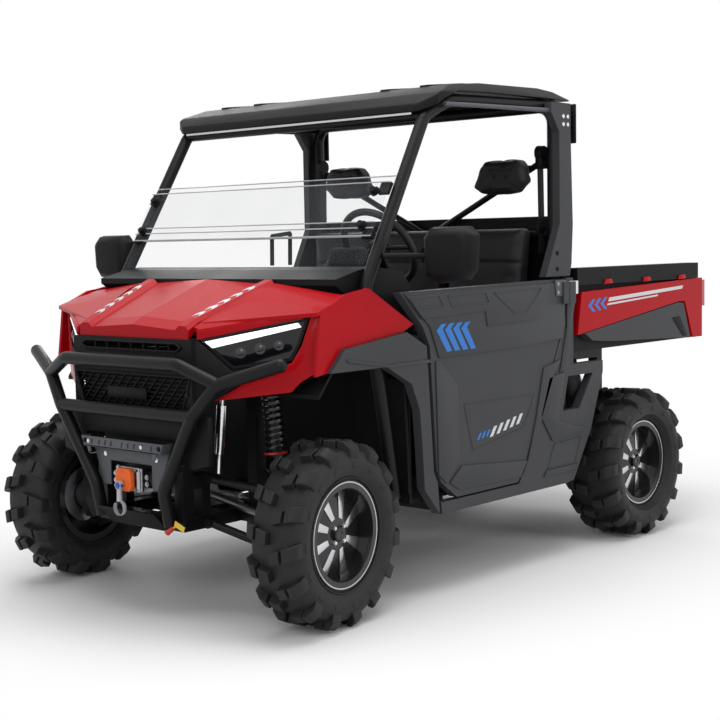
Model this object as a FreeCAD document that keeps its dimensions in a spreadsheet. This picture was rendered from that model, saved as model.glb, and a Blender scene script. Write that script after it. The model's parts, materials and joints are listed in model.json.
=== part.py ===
import FreeCAD
import Part
import math
import os
import Sketcher

# A side by side utility vehicle for three people, with a dumping cargo bed.
# Forward is -Y, the vehicle's left is +X, up is +Z. The origin is on the ground,
# under the middle of the vehicle's box. All lengths are millimetres, angles degrees.
# Places along the vehicle are given from the front axle, rearward positive.

SIZES = {
    # overall layout
    "wheelbase": 2076, "nose_reach": 420, "tail_reach": 694,
    "front_wheel_x": 716, "rear_wheel_x": 720, "axle_height": 343, "steer_rest": 6,
    "kingpin_x": 640, "shut_gap": 8, "running_gap": 0.3, "overrun": 5,
    # wheels and tyres
    "tyre_radius": 343, "bead_radius": 178, "flange_radius": 197, "rim_width": 178,
    "front_tyre_width": 229, "rear_tyre_width": 270, "rim_wall": 8, "hub_radius": 52,
    "spoke_depth": 26, "cap_radius": 30, "bolt_circle": 55, "nut_radius": 10,
    "disc_radius": 115, "disc_thickness": 6, "mount_offset": 22,
    # chassis
    "rail_x": 225, "rail_size": 50, "rail_bottom": 330, "chassis_front": 262,
    "chassis_rear": 2480, "tower_x": 320, "tower_top": 870, "rear_rail_top": 842,
    "rear_rail_front": 1570, "rear_rail_rear": 2480, "skid_thickness": 6,
    "outrigger_front": 645, "outrigger_rear": 1380,
    # suspension
    "arm_radius": 16, "ball_radius": 20, "upper_ball": 458, "lower_ball": 228,
    "arm_spread": 150, "lower_arm_z": 352, "upper_arm_z": 520,
    "shock_x": 430, "shock_top": 853, "shock_top_x": 402, "spring_radius": 44,
    "damper_radius": 26, "shock_y": 50, "half_shaft_radius": 15, "knuckle_depth": 45,
    "carrier_radius": 58, "steer_arm": 88, "tie_rod_radius": 9, "rack_z": 402,
    "rack_radius": 22, "rack_half": 190,
    # front end
    "tube_radius": 25, "bumper_foot_x": 200, "bumper_foot_z": 484, "bumper_foot_y": 315,
    "bumper_low_x": 385, "bumper_low_z": 777, "bumper_low_y": 330,
    "bumper_high_x": 488, "bumper_high_z": 896, "bumper_high_y": 299,
    "bumper_tip_x": 712, "bumper_tip_z": 968, "bumper_tip_y": 205,
    "bow_x": 330, "bow_z": 965, "bow_y": 345,
    "fascia_x": 345, "fascia_wing_x": 712, "fascia_face": 290, "fascia_wing_y": 34,
    "fascia_bottom": 770, "fascia_wall": 24,
    "grille_top_x": 337, "grille_low_x": 291, "grille_top": 914, "grille_low": 784,
    "grille_depth": 14, "mesh_bar": 7, "slot_x": 296, "slot_top": 1036, "slot_low": 1004,
    "slot_tip": 30, "lamp_length": 404, "lamp_turn": 32.3, "lamp_depth": 40,
    "lamp_inner_x": 357, "lamp_inner_y": 256, "lamp_inner_z": 1046, "lamp_height": 92,
    "plate_top": 668, "plate_low": 480, "plate_top_x": 238, "plate_low_x": 190,
    "plate_thickness": 6, "plate_gap": 3.5, "plate_strip": 40, "window_x": 122,
    "window_top": 600, "winch_z": 528, "drum_radius": 32, "motor_radius": 38,
    "fairlead_height": 116, "fairlead_depth": 16,
    "roller_radius": 10, "stopper_x": 46, "stopper_height": 92, "stopper_depth": 35,
    "hook_radius": 27, "hook_wire": 9, "hook_z": 440,
    # bonnet and front wings
    "hood_front": 278, "hood_front_x": 318, "hood_lip": 1050, "hood_crease": 1100,
    "hood_rear": 110, "hood_rear_x": 376, "hood_rear_z": 1257, "hood_mid": 225,
    "hood_mid_z": 1128, "hood_wall": 22, "rib_width": 52, "rib_rise": 16,
    "wing_x": 755, "wing_wall": 14, "wing_kink_x": 735, "wing_kink_y": 10, "wing_kink_z": 1168,
    "wing_rear": 247, "wing_rear_z": 1226, "wing_side_front": 70, "wing_side_rear": 476,
    "wing_side_low": 918, "wing_side_top": 1224,
    # doors and body sides
    "body_x": 775, "door_thickness": 40, "door_front": 375, "door_rear": 1490,
    "door_low": 377, "door_top": 1217, "hinge_x": 790, "hinge_y": 1504, "hinge_low": 1112,
    "hinge_high": 1206, "hinge_radius": 9, "flare_front": 13, "flare_rear": 598,
    "flare_low": 325, "flare_top": 1056, "flare_wall": 40,
    "side_low": 322, "side_rear": 1795, "side_top": 1222,
    # cab
    "floor_wall": 14, "firewall_y": 470, "rear_wall_y": 1548,
    "rear_wall_top": 1492, "firewall_top": 975,
    "dash_front": 118, "dash_rear": 570, "dash_low": 980, "dash_top": 1300, "dash_half": 684.3,
    "seat_front": 880, "seat_rear": 1430, "seat_low": 700, "seat_top": 800, "seat_half": 640,
    "driver_seat_x": 190, "seat_gap": 6, "back_foot_y": 1330, "back_top": 1462, "back_lean": 52,
    "back_depth": 98, "headrest_x": 440, "headrest_half": 148, "headrest_z": 1708,
    "headrest_height": 164, "headrest_depth": 84, "headrest_y": 1470,
    "wheel_x": 395, "wheel_y": 700, "wheel_z": 1368, "wheel_radius": 172, "wheel_grip": 15,
    "wheel_tilt": 58, "column_radius": 26, "column_length": 240, "column_shaft": 14,
    # cage and roof
    "cage_foot_y": 452, "pillar_foot_x": 712, "pillar_foot_y": 250,
    "pillar_foot_z": 1224, "pillar_top_x": 690, "pillar_top_y": 640, "pillar_top_z": 1880,
    "rail_front_y": 780, "rail_front_z": 1948, "rail_top_x": 700, "rail_rear_z": 1965.2,
    "hoop_x": 698, "hoop_y": 1517, "brace_radius": 14, "pillar_width_x": 35,
    "post_front": 1360, "post_rear": 1572, "post_low": 1222, "post_high": 1975, "post_x": 764,
    "roof_front": 595, "roof_rear": 1610, "roof_low": 1890, "roof_high": 2040, "roof_half": 752,
    "roof_edge": 34, "screen_half": 668, "screen_low": 66,
    "screen_high": 470, "flip_low": 190, "flip_high": 434, "screen_wall": 5, "flip_gap": 14,
    "mirror_x": 978, "mirror_y": 420, "mirror_z": 1339, "mirror_width": 234,
    "mirror_height": 210, "mirror_depth": 74, "mirror_arm": 10,
    # drive train
    "engine_front": 1610, "engine_rear": 1980, "engine_half": 190, "engine_low": 400,
    "engine_high": 790, "case_radius": 60, "case_half": 88, "case_height": 426, "prop_radius": 18,
    "muffler_y": 2400, "muffler_z": 640, "muffler_radius": 78, "muffler_half": 230,
    "pipe_radius": 22, "radiator_half": 240, "radiator_low": 600, "radiator_high": 960,
    "radiator_y": 190, "radiator_depth": 44,
    # cargo bed
    "bed_front": 1598, "bed_rear": 2735, "bed_floor": 905, "bed_floor_wall": 16,
    "bed_top": 1262, "bed_half": 730, "bed_wall": 30, "bed_skin_x": 770, "bed_skin": 30,
    "bed_skin_low": 893, "bed_skin_top": 1186, "bed_hinge_y": 2440, "bed_hinge_z": 852,
    "bed_rib": 40, "tailgate_wall": 34, "tailgate_top": 1225, "tailgate_hinge_z": 925,
    "strut_radius": 11, "duct_radius": 52, "receiver_size": 64, "receiver_bore": 51,
    "receiver_length": 178, "receiver_rear": 2620, "pin_radius": 8.1,
    "lamp_tall": 130,
}

doc = FreeCAD.newDocument("utv")
sheet = doc.addObject("Spreadsheet::Sheet", "sizes")


class Size:
    """A number together with the sheet expression that gives it."""

    def __init__(self, value, text):
        self.value = float(value)
        self.text = text

    def __float__(self):
        return self.value

    def __neg__(self):
        return Size(-self.value, f"(-1 * {self.text})")

    def __add__(self, other):
        other = as_size(other)
        return Size(self.value + other.value, f"({self.text} + {other.text})")

    def __sub__(self, other):
        other = as_size(other)
        return Size(self.value - other.value, f"({self.text} - {other.text})")

    def __mul__(self, other):
        other = as_size(other)
        return Size(self.value * other.value, f"({self.text} * {other.text})")

    def __truediv__(self, other):
        other = as_size(other)
        return Size(self.value / other.value, f"({self.text} / {other.text})")

    def __radd__(self, other):
        return as_size(other) + self

    def __rsub__(self, other):
        return as_size(other) - self

    def __rmul__(self, other):
        return as_size(other) * self


def as_size(number):
    if isinstance(number, Size):
        return number
    return Size(number, f"({float(number)!r})")


class Named:
    """The sheet's cells as attributes."""


def fill_sheet():
    named = Named()
    for row, (alias, value) in enumerate(SIZES.items(), start=1):
        sheet.set(f"A{row}", alias)
        sheet.set(f"B{row}", str(value))
        sheet.setAlias(f"B{row}", alias)
        setattr(named, alias, Size(value, f"sizes.{alias}"))
    doc.recompute()
    return named


d = fill_sheet()
nodes = {}
zero = Size(0, "0")

# The front axle's place along Y, so that the box's middle is over the origin.
front_y = -(d.wheelbase + d.tail_reach - d.nose_reach) / 2
rear_y = front_y + d.wheelbase


# Heights and places that several pieces share.
rail_top = d.rail_bottom + d.rail_size
rail_outer = d.rail_x + d.rail_size / 2
tower_inner = d.tower_x - d.rail_size / 2
floor_top = rail_top + d.running_gap + d.floor_wall
arm_base_x = rail_outer + d.ball_radius + d.running_gap
cab_half = d.post_x - d.pillar_width_x - d.running_gap
fascia_top = d.hood_lip - d.running_gap
plate_face = d.bumper_foot_y + d.tube_radius + d.plate_thickness + d.plate_gap
receiver_z = rail_top + d.receiver_size / 2 + d.running_gap
prop_z = (d.rail_bottom + rail_top) / 2
scrub = d.front_wheel_x - d.kingpin_x
panel_inner = d.body_x - d.door_thickness


def at(distance):
    """Y of a place given rearward from the front axle."""
    return front_y + distance


def between(low, high, share):
    return low + (high - low) * share


def spread(shares, u_low, u_high, v_low, v_high):
    """Turns pairs of shares into points of a named box."""
    return [(between(u_low, u_high, u), between(v_low, v_high, v)) for u, v in shares]


def vector(x, y, z):
    return FreeCAD.Vector(float(x), float(y), float(z))


def bind(thing, path, size):
    thing.setExpression(path, as_size(size).text)


# Sketches and features


def new_body(name):
    body = doc.addObject("PartDesign::Body", name)
    body.Label = name
    body.AllowCompound = True
    return body


def keep(thing, name):
    thing.Label = name
    nodes[name] = thing
    return thing


def plane_of(body, role):
    for feature in body.Origin.OriginFeatures:
        if feature.Role == role:
            return feature
    raise ValueError(role)


def new_sketch(body, role, offset):
    """A sketch square to an axis at a true coordinate. The XZ plane's normal is -Y."""
    sketch = body.newObject("Sketcher::SketchObject", body.Name + "_sketch")
    sketch.AttachmentSupport = [(plane_of(body, role), "")]
    sketch.MapMode = "FlatFace"
    lift = as_size(-offset if role == "XZ_Plane" else offset)
    sketch.AttachmentOffset = FreeCAD.Placement(vector(0, 0, lift), FreeCAD.Rotation())
    bind(sketch, "AttachmentOffset.Base.z", lift)
    return sketch


def add_loop(sketch, points):
    """A closed outline whose corners are dimensioned from the sketch's origin."""
    first = sketch.GeometryCount
    count = len(points)
    corners = [vector(u, v, 0) for u, v in points]
    lines = [Part.LineSegment(corners[i], corners[(i + 1) % count]) for i in range(count)]
    sketch.addGeometry(lines, False)
    joins = [Sketcher.Constraint("Coincident", first + i, 2, first + (i + 1) % count, 1)
             for i in range(count)]
    sketch.addConstraint(joins)
    for i, (u, v) in enumerate(points):
        pin_point(sketch, first + i, 1, u, v)


def pin_point(sketch, geometry, position, u, v):
    for kind, size in (("DistanceX", u), ("DistanceY", v)):
        size = as_size(size)
        rule = Sketcher.Constraint(kind, -1, 1, geometry, position, size.value)
        index = sketch.addConstraint(rule)
        sketch.setExpression(f"Constraints[{index}]", size.text)


def add_circle(sketch, u, v, radius):
    radius = as_size(radius)
    circle = Part.Circle(vector(u, v, 0), vector(0, 0, 1), radius.value)
    index = sketch.addGeometry(circle, False)
    pin_point(sketch, index, 3, u, v)
    rule = sketch.addConstraint(Sketcher.Constraint("Radius", index, radius.value))
    sketch.setExpression(f"Constraints[{rule}]", radius.text)


def polygon(body, role, offset, points):
    sketch = new_sketch(body, role, offset)
    add_loop(sketch, points)
    return sketch


def disc(body, role, offset, u, v, radius):
    sketch = new_sketch(body, role, offset)
    add_circle(sketch, u, v, radius)
    return sketch


def feature(body, kind, sketch, length, along):
    """A pad or pocket that runs from its sketch towards the positive axis, or back."""
    made = body.newObject("PartDesign::" + kind, body.Name + "_" + kind)
    made.Profile = sketch
    made.Length = float(length)
    bind(made, "Length", length)
    role = sketch.AttachmentSupport[0][0].Role
    forward = along > 0
    if role == "XZ_Plane":
        forward = not forward
    if kind == "Pocket":
        forward = not forward
    made.Reversed = not forward
    return made


def slab(body, role, low, high, points):
    """A pad of an outline from one coordinate to a greater one."""
    return feature(body, "Pad", polygon(body, role, low, points), high - low, 1)


def slot(body, role, low, high, points):
    """A pocket of an outline from one coordinate to a greater one."""
    return feature(body, "Pocket", polygon(body, role, low, points), high - low, 1)


def round_bar(body, role, low, high, u, v, radius):
    return feature(body, "Pad", disc(body, role, low, u, v, radius), high - low, 1)


def bore(body, role, low, high, u, v, radius):
    return feature(body, "Pocket", disc(body, role, low, u, v, radius), high - low, 1)


def rectangle(u_low, u_high, v_low, v_high):
    return [(u_low, v_low), (u_high, v_low), (u_high, v_high), (u_low, v_high)]


def block(body, x_low, x_high, y_low, y_high, z_low, z_high):
    return slab(body, "XY_Plane", z_low, z_high, rectangle(x_low, x_high, y_low, y_high))


def cut_block(body, x_low, x_high, y_low, y_high, z_low, z_high):
    return slot(body, "XY_Plane", z_low, z_high, rectangle(x_low, x_high, y_low, y_high))


def both_sides(body, role, low, high, points):
    """The same outline padded on the left and on the right."""
    slab(body, role, low, high, points)
    slab(body, role, -high, -low, points)


def loft(body, role, sections, ruled=True):
    """A ruled loft through outlines that have the same count of corners."""
    sketches = [polygon(body, role, offset, points) for offset, points in sections]
    made = body.newObject("PartDesign::AdditiveLoft", body.Name + "_loft")
    made.Profile = sketches[0]
    made.Sections = sketches[1:]
    made.Ruled = ruled
    return made


def turned(body, outline):
    """A solid of revolution about the body's own X axis."""
    sketch = polygon(body, "XY_Plane", zero, outline)
    made = body.newObject("PartDesign::Revolution", body.Name + "_turn")
    made.Profile = sketch
    made.ReferenceAxis = (sketch, ["H_Axis"])
    made.Angle = 360
    return made


def polar(body, features, count):
    """Copies features round the body's X axis."""
    made = body.newObject("PartDesign::PolarPattern", body.Name + "_ring")
    made.Originals = features
    made.Axis = (plane_of(body, "X_Axis"), [""])
    made.Angle = 360
    made.Occurrences = count
    body.Tip = made
    return made


def place(body, x, y, z, turn=None):
    """Puts a body at a point, turned about Z."""
    angle = 0 if turn is None else float(turn)
    rotation = FreeCAD.Rotation(vector(0, 0, 1), angle)
    body.Placement = FreeCAD.Placement(vector(x, y, z), rotation)
    for axis, size in zip("xyz", (x, y, z)):
        bind(body, f"Placement.Base.{axis}", size)
    return body


def mirrored(source, name):
    """The same piece on the vehicle's right."""
    made = doc.addObject("Part::Mirroring", name)
    made.Source = source
    made.Normal = vector(1, 0, 0)
    return keep(made, name)


def two_sided(source, name):
    """One node that holds a left piece and its mirror image."""
    other = doc.addObject("Part::Mirroring", name + "_right")
    other.Source = source
    other.Normal = vector(1, 0, 0)
    made = doc.addObject("Part::Compound", name)
    made.Links = [source, other]
    return keep(made, name)


# Rods and bent tubes


def rod(start, end, radius):
    """A round bar between two points."""
    made = doc.addObject("Part::Cylinder", "rod")
    base = vector(*start)
    run = vector(*end) - base
    made.Radius = float(radius)
    bind(made, "Radius", radius)
    made.Height = run.Length
    made.Placement = FreeCAD.Placement(base, FreeCAD.Rotation(vector(0, 0, 1), run))
    return made


def ball(centre, radius):
    made = doc.addObject("Part::Sphere", "ball")
    made.Radius = float(radius)
    bind(made, "Radius", radius)
    made.Placement = FreeCAD.Placement(vector(*centre), FreeCAD.Rotation())
    return made


def bent_path(points, bend):
    """Straight runs joined by tangent arcs."""
    corners = [vector(*point) for point in points]
    edges = []
    here = corners[0]
    for before, corner, after in zip(corners, corners[1:], corners[2:]):
        to_back = (before - corner).normalize()
        to_front = (after - corner).normalize()
        half = to_back.getAngle(to_front) / 2
        back = bend / math.tan(half)
        start = corner + to_back * back
        end = corner + to_front * back
        middle_way = (to_back + to_front).normalize()
        centre = corner + middle_way * (bend / math.sin(half))
        middle = centre - middle_way * bend
        edges.append(Part.LineSegment(here, start).toShape())
        edges.append(Part.Arc(start, middle, end).toShape())
        here = end
    edges.append(Part.LineSegment(here, corners[-1]).toShape())
    return Part.Wire(edges)


def tube(points, radius, bend):
    """A round tube along bent runs."""
    path = bent_path(points, float(bend))
    start = vector(*points[0])
    direction = vector(*points[1]) - start
    ring = Part.Wire([Part.Circle(start, direction, float(radius)).toShape()])
    made = doc.addObject("Part::Feature", "tube")
    made.Shape = path.makePipeShell([ring], True, True)
    return made


def fused(name, pieces):
    made = doc.addObject("Part::MultiFuse", name)
    made.Shapes = pieces
    return keep(made, name)


def gathered(name, pieces):
    """Like pieces that do not touch, in one node."""
    made = doc.addObject("Part::Compound", name)
    made.Links = pieces
    return keep(made, name)


def flipped(point):
    return (-point[0], point[1], point[2])


def two_rods(start, end, radius):
    return [rod(start, end, radius), rod(flipped(start), flipped(end), radius)]


# Wheels


def rim_body(name, centre):
    """Barrel, dish, hub and brake disc, about the body's X axis. Outside is +X."""
    body = new_body(name)
    half = d.rim_width / 2
    inner = centre - half
    outer = centre + half
    face = centre + d.mount_offset
    well = d.bead_radius - d.rim_wall
    lip = d.flange_radius
    turned(body, [(inner, well), (inner, lip), (inner + d.rim_wall, lip),
                  (inner + d.rim_wall, d.bead_radius), (outer - d.rim_wall, d.bead_radius),
                  (outer - d.rim_wall, lip), (outer, lip), (outer, well)])
    turned(body, [(face - d.spoke_depth, zero), (face - d.spoke_depth, well + d.rim_wall / 2),
                  (face, well + d.rim_wall / 2), (face + d.spoke_depth, d.hub_radius),
                  (face + d.spoke_depth, zero)])
    disc_in = d.knuckle_depth + d.running_gap
    turned(body, [(disc_in, zero), (disc_in, d.disc_radius),
                  (disc_in + d.disc_thickness, d.disc_radius),
                  (disc_in + d.disc_thickness, d.hub_radius),
                  (face - d.spoke_depth, d.hub_radius), (face - d.spoke_depth, zero)])
    return body


tyre_outer_shares = ((0.5, 0.86), (0.47, 0.93), (0.36, 1.0))


def tyre_body(name, centre, width):
    """A plain closed ring out to the tips of the lugs."""
    body = new_body(name)
    bead = d.bead_radius + d.running_gap
    lip = d.flange_radius + d.running_gap
    half_rim = d.rim_width / 2
    seat = half_rim - d.rim_wall - d.running_gap
    height = d.tyre_radius - d.bead_radius
    outline = [(centre - seat, bead), (centre - seat, lip),
               (centre - half_rim, lip)]
    for across, up in tyre_outer_shares:
        outline.append((centre - width * across, d.bead_radius + height * up))
    for across, up in reversed(tyre_outer_shares):
        outline.append((centre + width * across, d.bead_radius + height * up))
    outline += [(centre + half_rim, lip), (centre + seat, lip), (centre + seat, bead)]
    turned(body, outline)
    return body


def make_wheels():
    for side, mark in ((1, "l"), (-1, "r")):
        for make, label in ((rim_body, "rim"), (tyre_body, "tyre")):
            extra = (d.front_tyre_width,) if make is tyre_body else ()
            front = make(f"{label}_f{mark}", scrub, *extra)
            set_wheel(front, side * d.kingpin_x, front_y, side, d.steer_rest)
            extra = (d.rear_tyre_width,) if make is tyre_body else ()
            rear = make(f"{label}_r{mark}", scrub, *extra)
            set_wheel(rear, side * (d.rear_wheel_x - scrub), rear_y, side, zero)


def set_wheel(body, x, y, side, steer):
    """Right wheels are the left ones turned half round about Z."""
    turn = steer if side > 0 else steer + 180
    place(body, x, y, d.axle_height, turn)
    keep(body, body.Name)


# Axles and knuckles


def knuckle_body(name, steers):
    """Upright about the kingpin, at the body's origin. Outside is +X."""
    body = new_body(name)
    thick = d.ball_radius
    low = d.lower_ball - d.axle_height + thick + d.running_gap
    high = d.upper_ball - d.axle_height - thick - d.running_gap
    slab(body, "YZ_Plane", -thick, thick, [
        (-thick, low), (thick, low), (d.carrier_radius, -thick), (d.carrier_radius, thick),
        (thick, high), (-thick, high), (-d.carrier_radius, thick), (-d.carrier_radius, -thick)])
    round_bar(body, "YZ_Plane", -thick, d.knuckle_depth, zero, zero, d.carrier_radius)
    if steers:
        top = d.rack_z - d.axle_height - d.tie_rod_radius - d.running_gap * 2
        block(body, -d.arm_radius, d.arm_radius, zero, d.steer_arm + d.arm_radius,
              top - d.arm_radius, top)
    return body


def make_knuckles():
    left = knuckle_body("knuckle_left", True)
    place(left, d.kingpin_x, front_y, d.axle_height, d.steer_rest)
    keep(left, "knuckle_left")
    right = knuckle_body("knuckle_right_shape", True)
    mirror = doc.addObject("Part::Mirroring", "knuckle_right")
    mirror.Source = right
    mirror.Normal = vector(1, 0, 0)
    place(mirror, -d.kingpin_x, front_y, d.axle_height, d.steer_rest)
    keep(mirror, "knuckle_right")
    rear = knuckle_body("rear_knuckle", False)
    place(rear, d.rear_wheel_x - scrub, rear_y, d.axle_height)
    two_sided(rear, "rear_knuckles")


def wishbone(y, pin_x, base_z, ball_z):
    """Two tubes that meet at the ball joint, on the knuckle's own axis."""
    tip = (pin_x, y, ball_z)
    gap = d.ball_radius * 2
    reach = (pin_x - gap, y, ball_z)
    pieces = []
    for side in (-1, 1):
        root = (arm_base_x, y + d.arm_spread * side, base_z)
        pieces.append(rod(root, reach, d.arm_radius))
        pieces.append(rod((arm_base_x, root[1] - d.ball_radius, base_z),
                          (arm_base_x, root[1] + d.ball_radius, base_z), d.ball_radius))
    pieces.append(ball(reach, d.arm_radius * 1.2))
    pieces.append(rod(reach, tip, d.arm_radius))
    pieces.append(ball(tip, d.ball_radius))
    return pieces


def make_arms():
    pieces = []
    for y, pin_x in ((front_y, d.kingpin_x),
                     (rear_y, d.rear_wheel_x - d.front_wheel_x + d.kingpin_x)):
        for base_z, ball_z in ((d.lower_arm_z, d.lower_ball), (d.upper_arm_z, d.upper_ball)):
            half = doc.addObject("Part::MultiFuse", "wishbone")
            half.Shapes = wishbone(y, pin_x, base_z, ball_z)
            other = doc.addObject("Part::Mirroring", "wishbone_right")
            other.Source = half
            other.Normal = vector(1, 0, 0)
            pieces += [half, other]
    gathered("suspension_arms", pieces)


def shock(y):
    """Spring round a damper, from an eye on the upper arm to the tower."""
    share = (d.shock_x - arm_base_x) / (d.kingpin_x - d.ball_radius * 2 - arm_base_x)
    arm_top = between(d.upper_arm_z, d.upper_ball, share) + d.arm_radius
    foot = vector(d.shock_x, y, arm_top + d.damper_radius + d.running_gap * 3)
    top = vector(d.shock_top_x, y, d.shock_top)
    way = top - foot
    low = foot + way * 0.22
    high = foot + way * 0.92
    return [rod(foot, top, d.damper_radius / 2), rod(low, high, d.spring_radius),
            ball(foot, d.damper_radius), ball(top, d.damper_radius)]


def make_shocks():
    pieces = []
    for y in (front_y + d.shock_y, rear_y - d.shock_y):
        half = doc.addObject("Part::MultiFuse", "shock")
        half.Shapes = shock(y)
        other = doc.addObject("Part::Mirroring", "shock_right")
        other.Source = half
        other.Normal = vector(1, 0, 0)
        pieces += [half, other]
    gathered("shocks", pieces)


def make_driveline():
    pieces = []
    for y in (front_y, rear_y):
        case = d.case_height
        pieces.append(rod((-d.case_half, y, case), (d.case_half, y, case), d.case_radius))
        start = (d.case_half, y, case)
        reach = d.carrier_radius + d.hinge_radius if y is front_y else d.ball_radius + d.running_gap
        end = (d.kingpin_x - reach, y, d.axle_height)
        pieces += two_rods(start, end, d.half_shaft_radius)
    drop = (zero, front_y + d.case_radius, prop_z)
    rise = (zero, at(d.engine_front) + d.case_radius, prop_z)
    pieces.append(rod((zero, front_y, d.case_height), drop, d.prop_radius))
    pieces.append(rod(drop, rise, d.prop_radius))
    pieces.append(rod(rise, (zero, rise[1], d.engine_low - d.running_gap), d.prop_radius))
    pieces += [ball(drop, d.prop_radius), ball(rise, d.prop_radius)]
    rear = (zero, rear_y, d.case_height)
    pieces.append(rod((zero, at(d.engine_rear) + d.running_gap, d.case_height), rear, d.prop_radius))
    fused("driveline", pieces)


# Chassis and front end


def beam(x_low, x_high, y_low, y_high, z_low, z_high):
    """A square bar between two corners."""
    made = doc.addObject("Part::Box", "beam")
    made.Placement.Base = vector(x_low, y_low, z_low)
    for axis, size in zip("xyz", (x_low, y_low, z_low)):
        bind(made, f"Placement.Base.{axis}", size)
    spans = (("Length", x_high - x_low), ("Width", y_high - y_low), ("Height", z_high - z_low))
    for side, size in spans:
        setattr(made, side, float(size))
        bind(made, side, size)
    return made


def twin_beams(x_low, x_high, *rest):
    return [beam(x_low, x_high, *rest), beam(-x_high, -x_low, *rest)]


def make_chassis():
    low = d.rail_bottom
    size = d.rail_size
    half = size / 2
    inner = d.rail_x - half
    start = at(-d.chassis_front)
    end = at(d.chassis_rear)
    bars = twin_beams(inner, rail_outer, start, end, low, rail_top)
    tower_outer = d.tower_x + half
    for axle, shift in ((front_y, d.shock_y), (rear_y, -d.shock_y)):
        y = axle + shift
        near = y - half
        far = y + half
        bars += twin_beams(tower_inner, tower_outer, near, far, low, d.tower_top)
        bars += twin_beams(inner, tower_outer, near, far, low, rail_top)
        bars.append(beam(-d.tower_x, d.tower_x, near, far, d.tower_top - size, d.tower_top))
        ear = d.shock_top_x - d.damper_radius - d.running_gap
        bars += twin_beams(d.tower_x, ear, y - d.arm_radius, y + d.arm_radius,
                           d.shock_top - d.arm_radius, d.tower_top)
        for way in (-1, 1):
            post = axle + d.arm_spread * way
            bars += twin_beams(inner, rail_outer, post - d.ball_radius, post + d.ball_radius,
                               low, d.upper_arm_z + d.ball_radius)
        bars.append(beam(-d.rail_x, d.rail_x, axle - half, axle + half, low,
                         d.case_height - d.case_radius - d.running_gap))
    rack_ear = d.rack_radius / 2
    y = at(d.steer_arm)
    bars += twin_beams(d.rack_half - size, d.rack_half, y - rack_ear, y + rack_ear,
                       low, d.rack_z - d.rack_radius - d.running_gap)
    bars += twin_beams(d.rack_half - size, d.rail_x, y - rack_ear, y + rack_ear, low,
                       rail_top - d.overrun)
    front = at(d.rear_rail_front)
    back = at(d.rear_rail_rear)
    rest = d.bed_floor - d.bed_floor_wall - d.running_gap
    bars += twin_beams(tower_inner, tower_outer, front, back, d.rear_rail_top - size,
                       d.rear_rail_top)
    bars += twin_beams(tower_inner, tower_outer, front, front + size, low, rest)
    bars += twin_beams(tower_inner, tower_outer, back - size, back, low, d.rear_rail_top)
    for y in (front, back - size):
        bars += twin_beams(d.rail_x, d.tower_x, y, y + size, low, rail_top)
    bars.append(beam(-d.rail_x, d.rail_x, end - size, end, low, rail_top))
    for y in (at(d.outrigger_front), at(d.outrigger_rear)):
        bars += twin_beams(d.rail_x, panel_inner - d.running_gap, y - half, y + half, low,
                           rail_top)
    bars.append(beam(-d.rail_x, d.rail_x, start, start + size, low, rail_top))
    bars += twin_beams(inner, rail_outer, start, start + size, low, d.radiator_low)
    bars.append(beam(-d.rail_x, d.rail_x, start, start + size, d.radiator_low - size,
                     d.radiator_low))
    nose = d.bumper_foot_z + size
    bars += twin_beams(inner, rail_outer, start, at(-d.arm_spread), nose - size, nose)
    pins = []
    hinge = at(d.bed_hinge_y)
    for x_low in (tower_inner, -tower_outer):
        here = (x_low, hinge, d.bed_hinge_z)
        there = (x_low + size, hinge, d.bed_hinge_z)
        bars.append(rod(here, there, d.ball_radius))
        pins.append(rod((x_low - d.overrun, hinge, d.bed_hinge_z),
                        (x_low + size + d.overrun, hinge, d.bed_hinge_z), d.ball_radius / 2))
    frame = doc.addObject("Part::MultiFuse", "frame_bars")
    frame.Shapes = bars
    frame.Refine = False
    holes = doc.addObject("Part::MultiFuse", "frame_holes")
    holes.Shapes = pins
    made = doc.addObject("Part::Cut", "chassis_frame")
    made.Base = frame
    made.Tool = holes
    made.Refine = False
    keep(made, "chassis_frame")


def make_skid():
    body = new_body("skid_plate")
    top = d.rail_bottom - d.running_gap
    low = top - d.skid_thickness
    nose = at(-d.chassis_front) - d.rail_size * 2
    start = at(-d.chassis_front)
    lift = d.rail_size * 2
    half = d.bumper_foot_x - d.tube_radius - d.shut_gap
    slab(body, "YZ_Plane", -half, half, [
        (nose, top + lift), (start, top), (at(d.chassis_rear), top), (at(d.chassis_rear), low),
        (start - d.skid_thickness, low), (nose - d.skid_thickness, top + lift)])
    keep(body, "skid_plate")


def make_bumper():
    foot = (d.bumper_foot_x, at(-d.bumper_foot_y), d.bumper_foot_z)
    lower = (d.bumper_low_x, at(-d.bumper_low_y), d.bumper_low_z)
    upper = (d.bumper_high_x, at(-d.bumper_high_y), d.bumper_high_z)
    tip = (d.bumper_tip_x, at(-d.bumper_tip_y), d.bumper_tip_z)
    bow = (d.bow_x, at(-d.bow_y), d.bow_z)
    root = (d.bumper_foot_x, at(-d.chassis_front) - d.tube_radius - d.running_gap * 2,
            d.rail_bottom + d.tube_radius)
    bend = d.tube_radius * 3
    pieces = []
    for flip in (lambda point: point, flipped):
        route = [flip(point) for point in (root, foot, lower, upper, tip)]
        pieces.append(tube(route, d.tube_radius, bend))
        pieces.append(ball(flip(tip), d.tube_radius))
        stay_x = rail_outer - d.tube_radius * 0.4
        stay = (stay_x, at(-d.chassis_front) - d.running_gap, d.radiator_low - d.rail_size / 2)
        face = (stay_x, at(-d.bumper_foot_y), stay[2])
        pieces.append(rod(flip(stay), flip(face), d.tube_radius * 0.7))
    pieces.append(tube([upper, bow, flipped(bow), flipped(upper)], d.tube_radius, bend))
    pieces.append(rod(lower, flipped(lower), d.tube_radius))
    fused("front_bumper", pieces)


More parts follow.
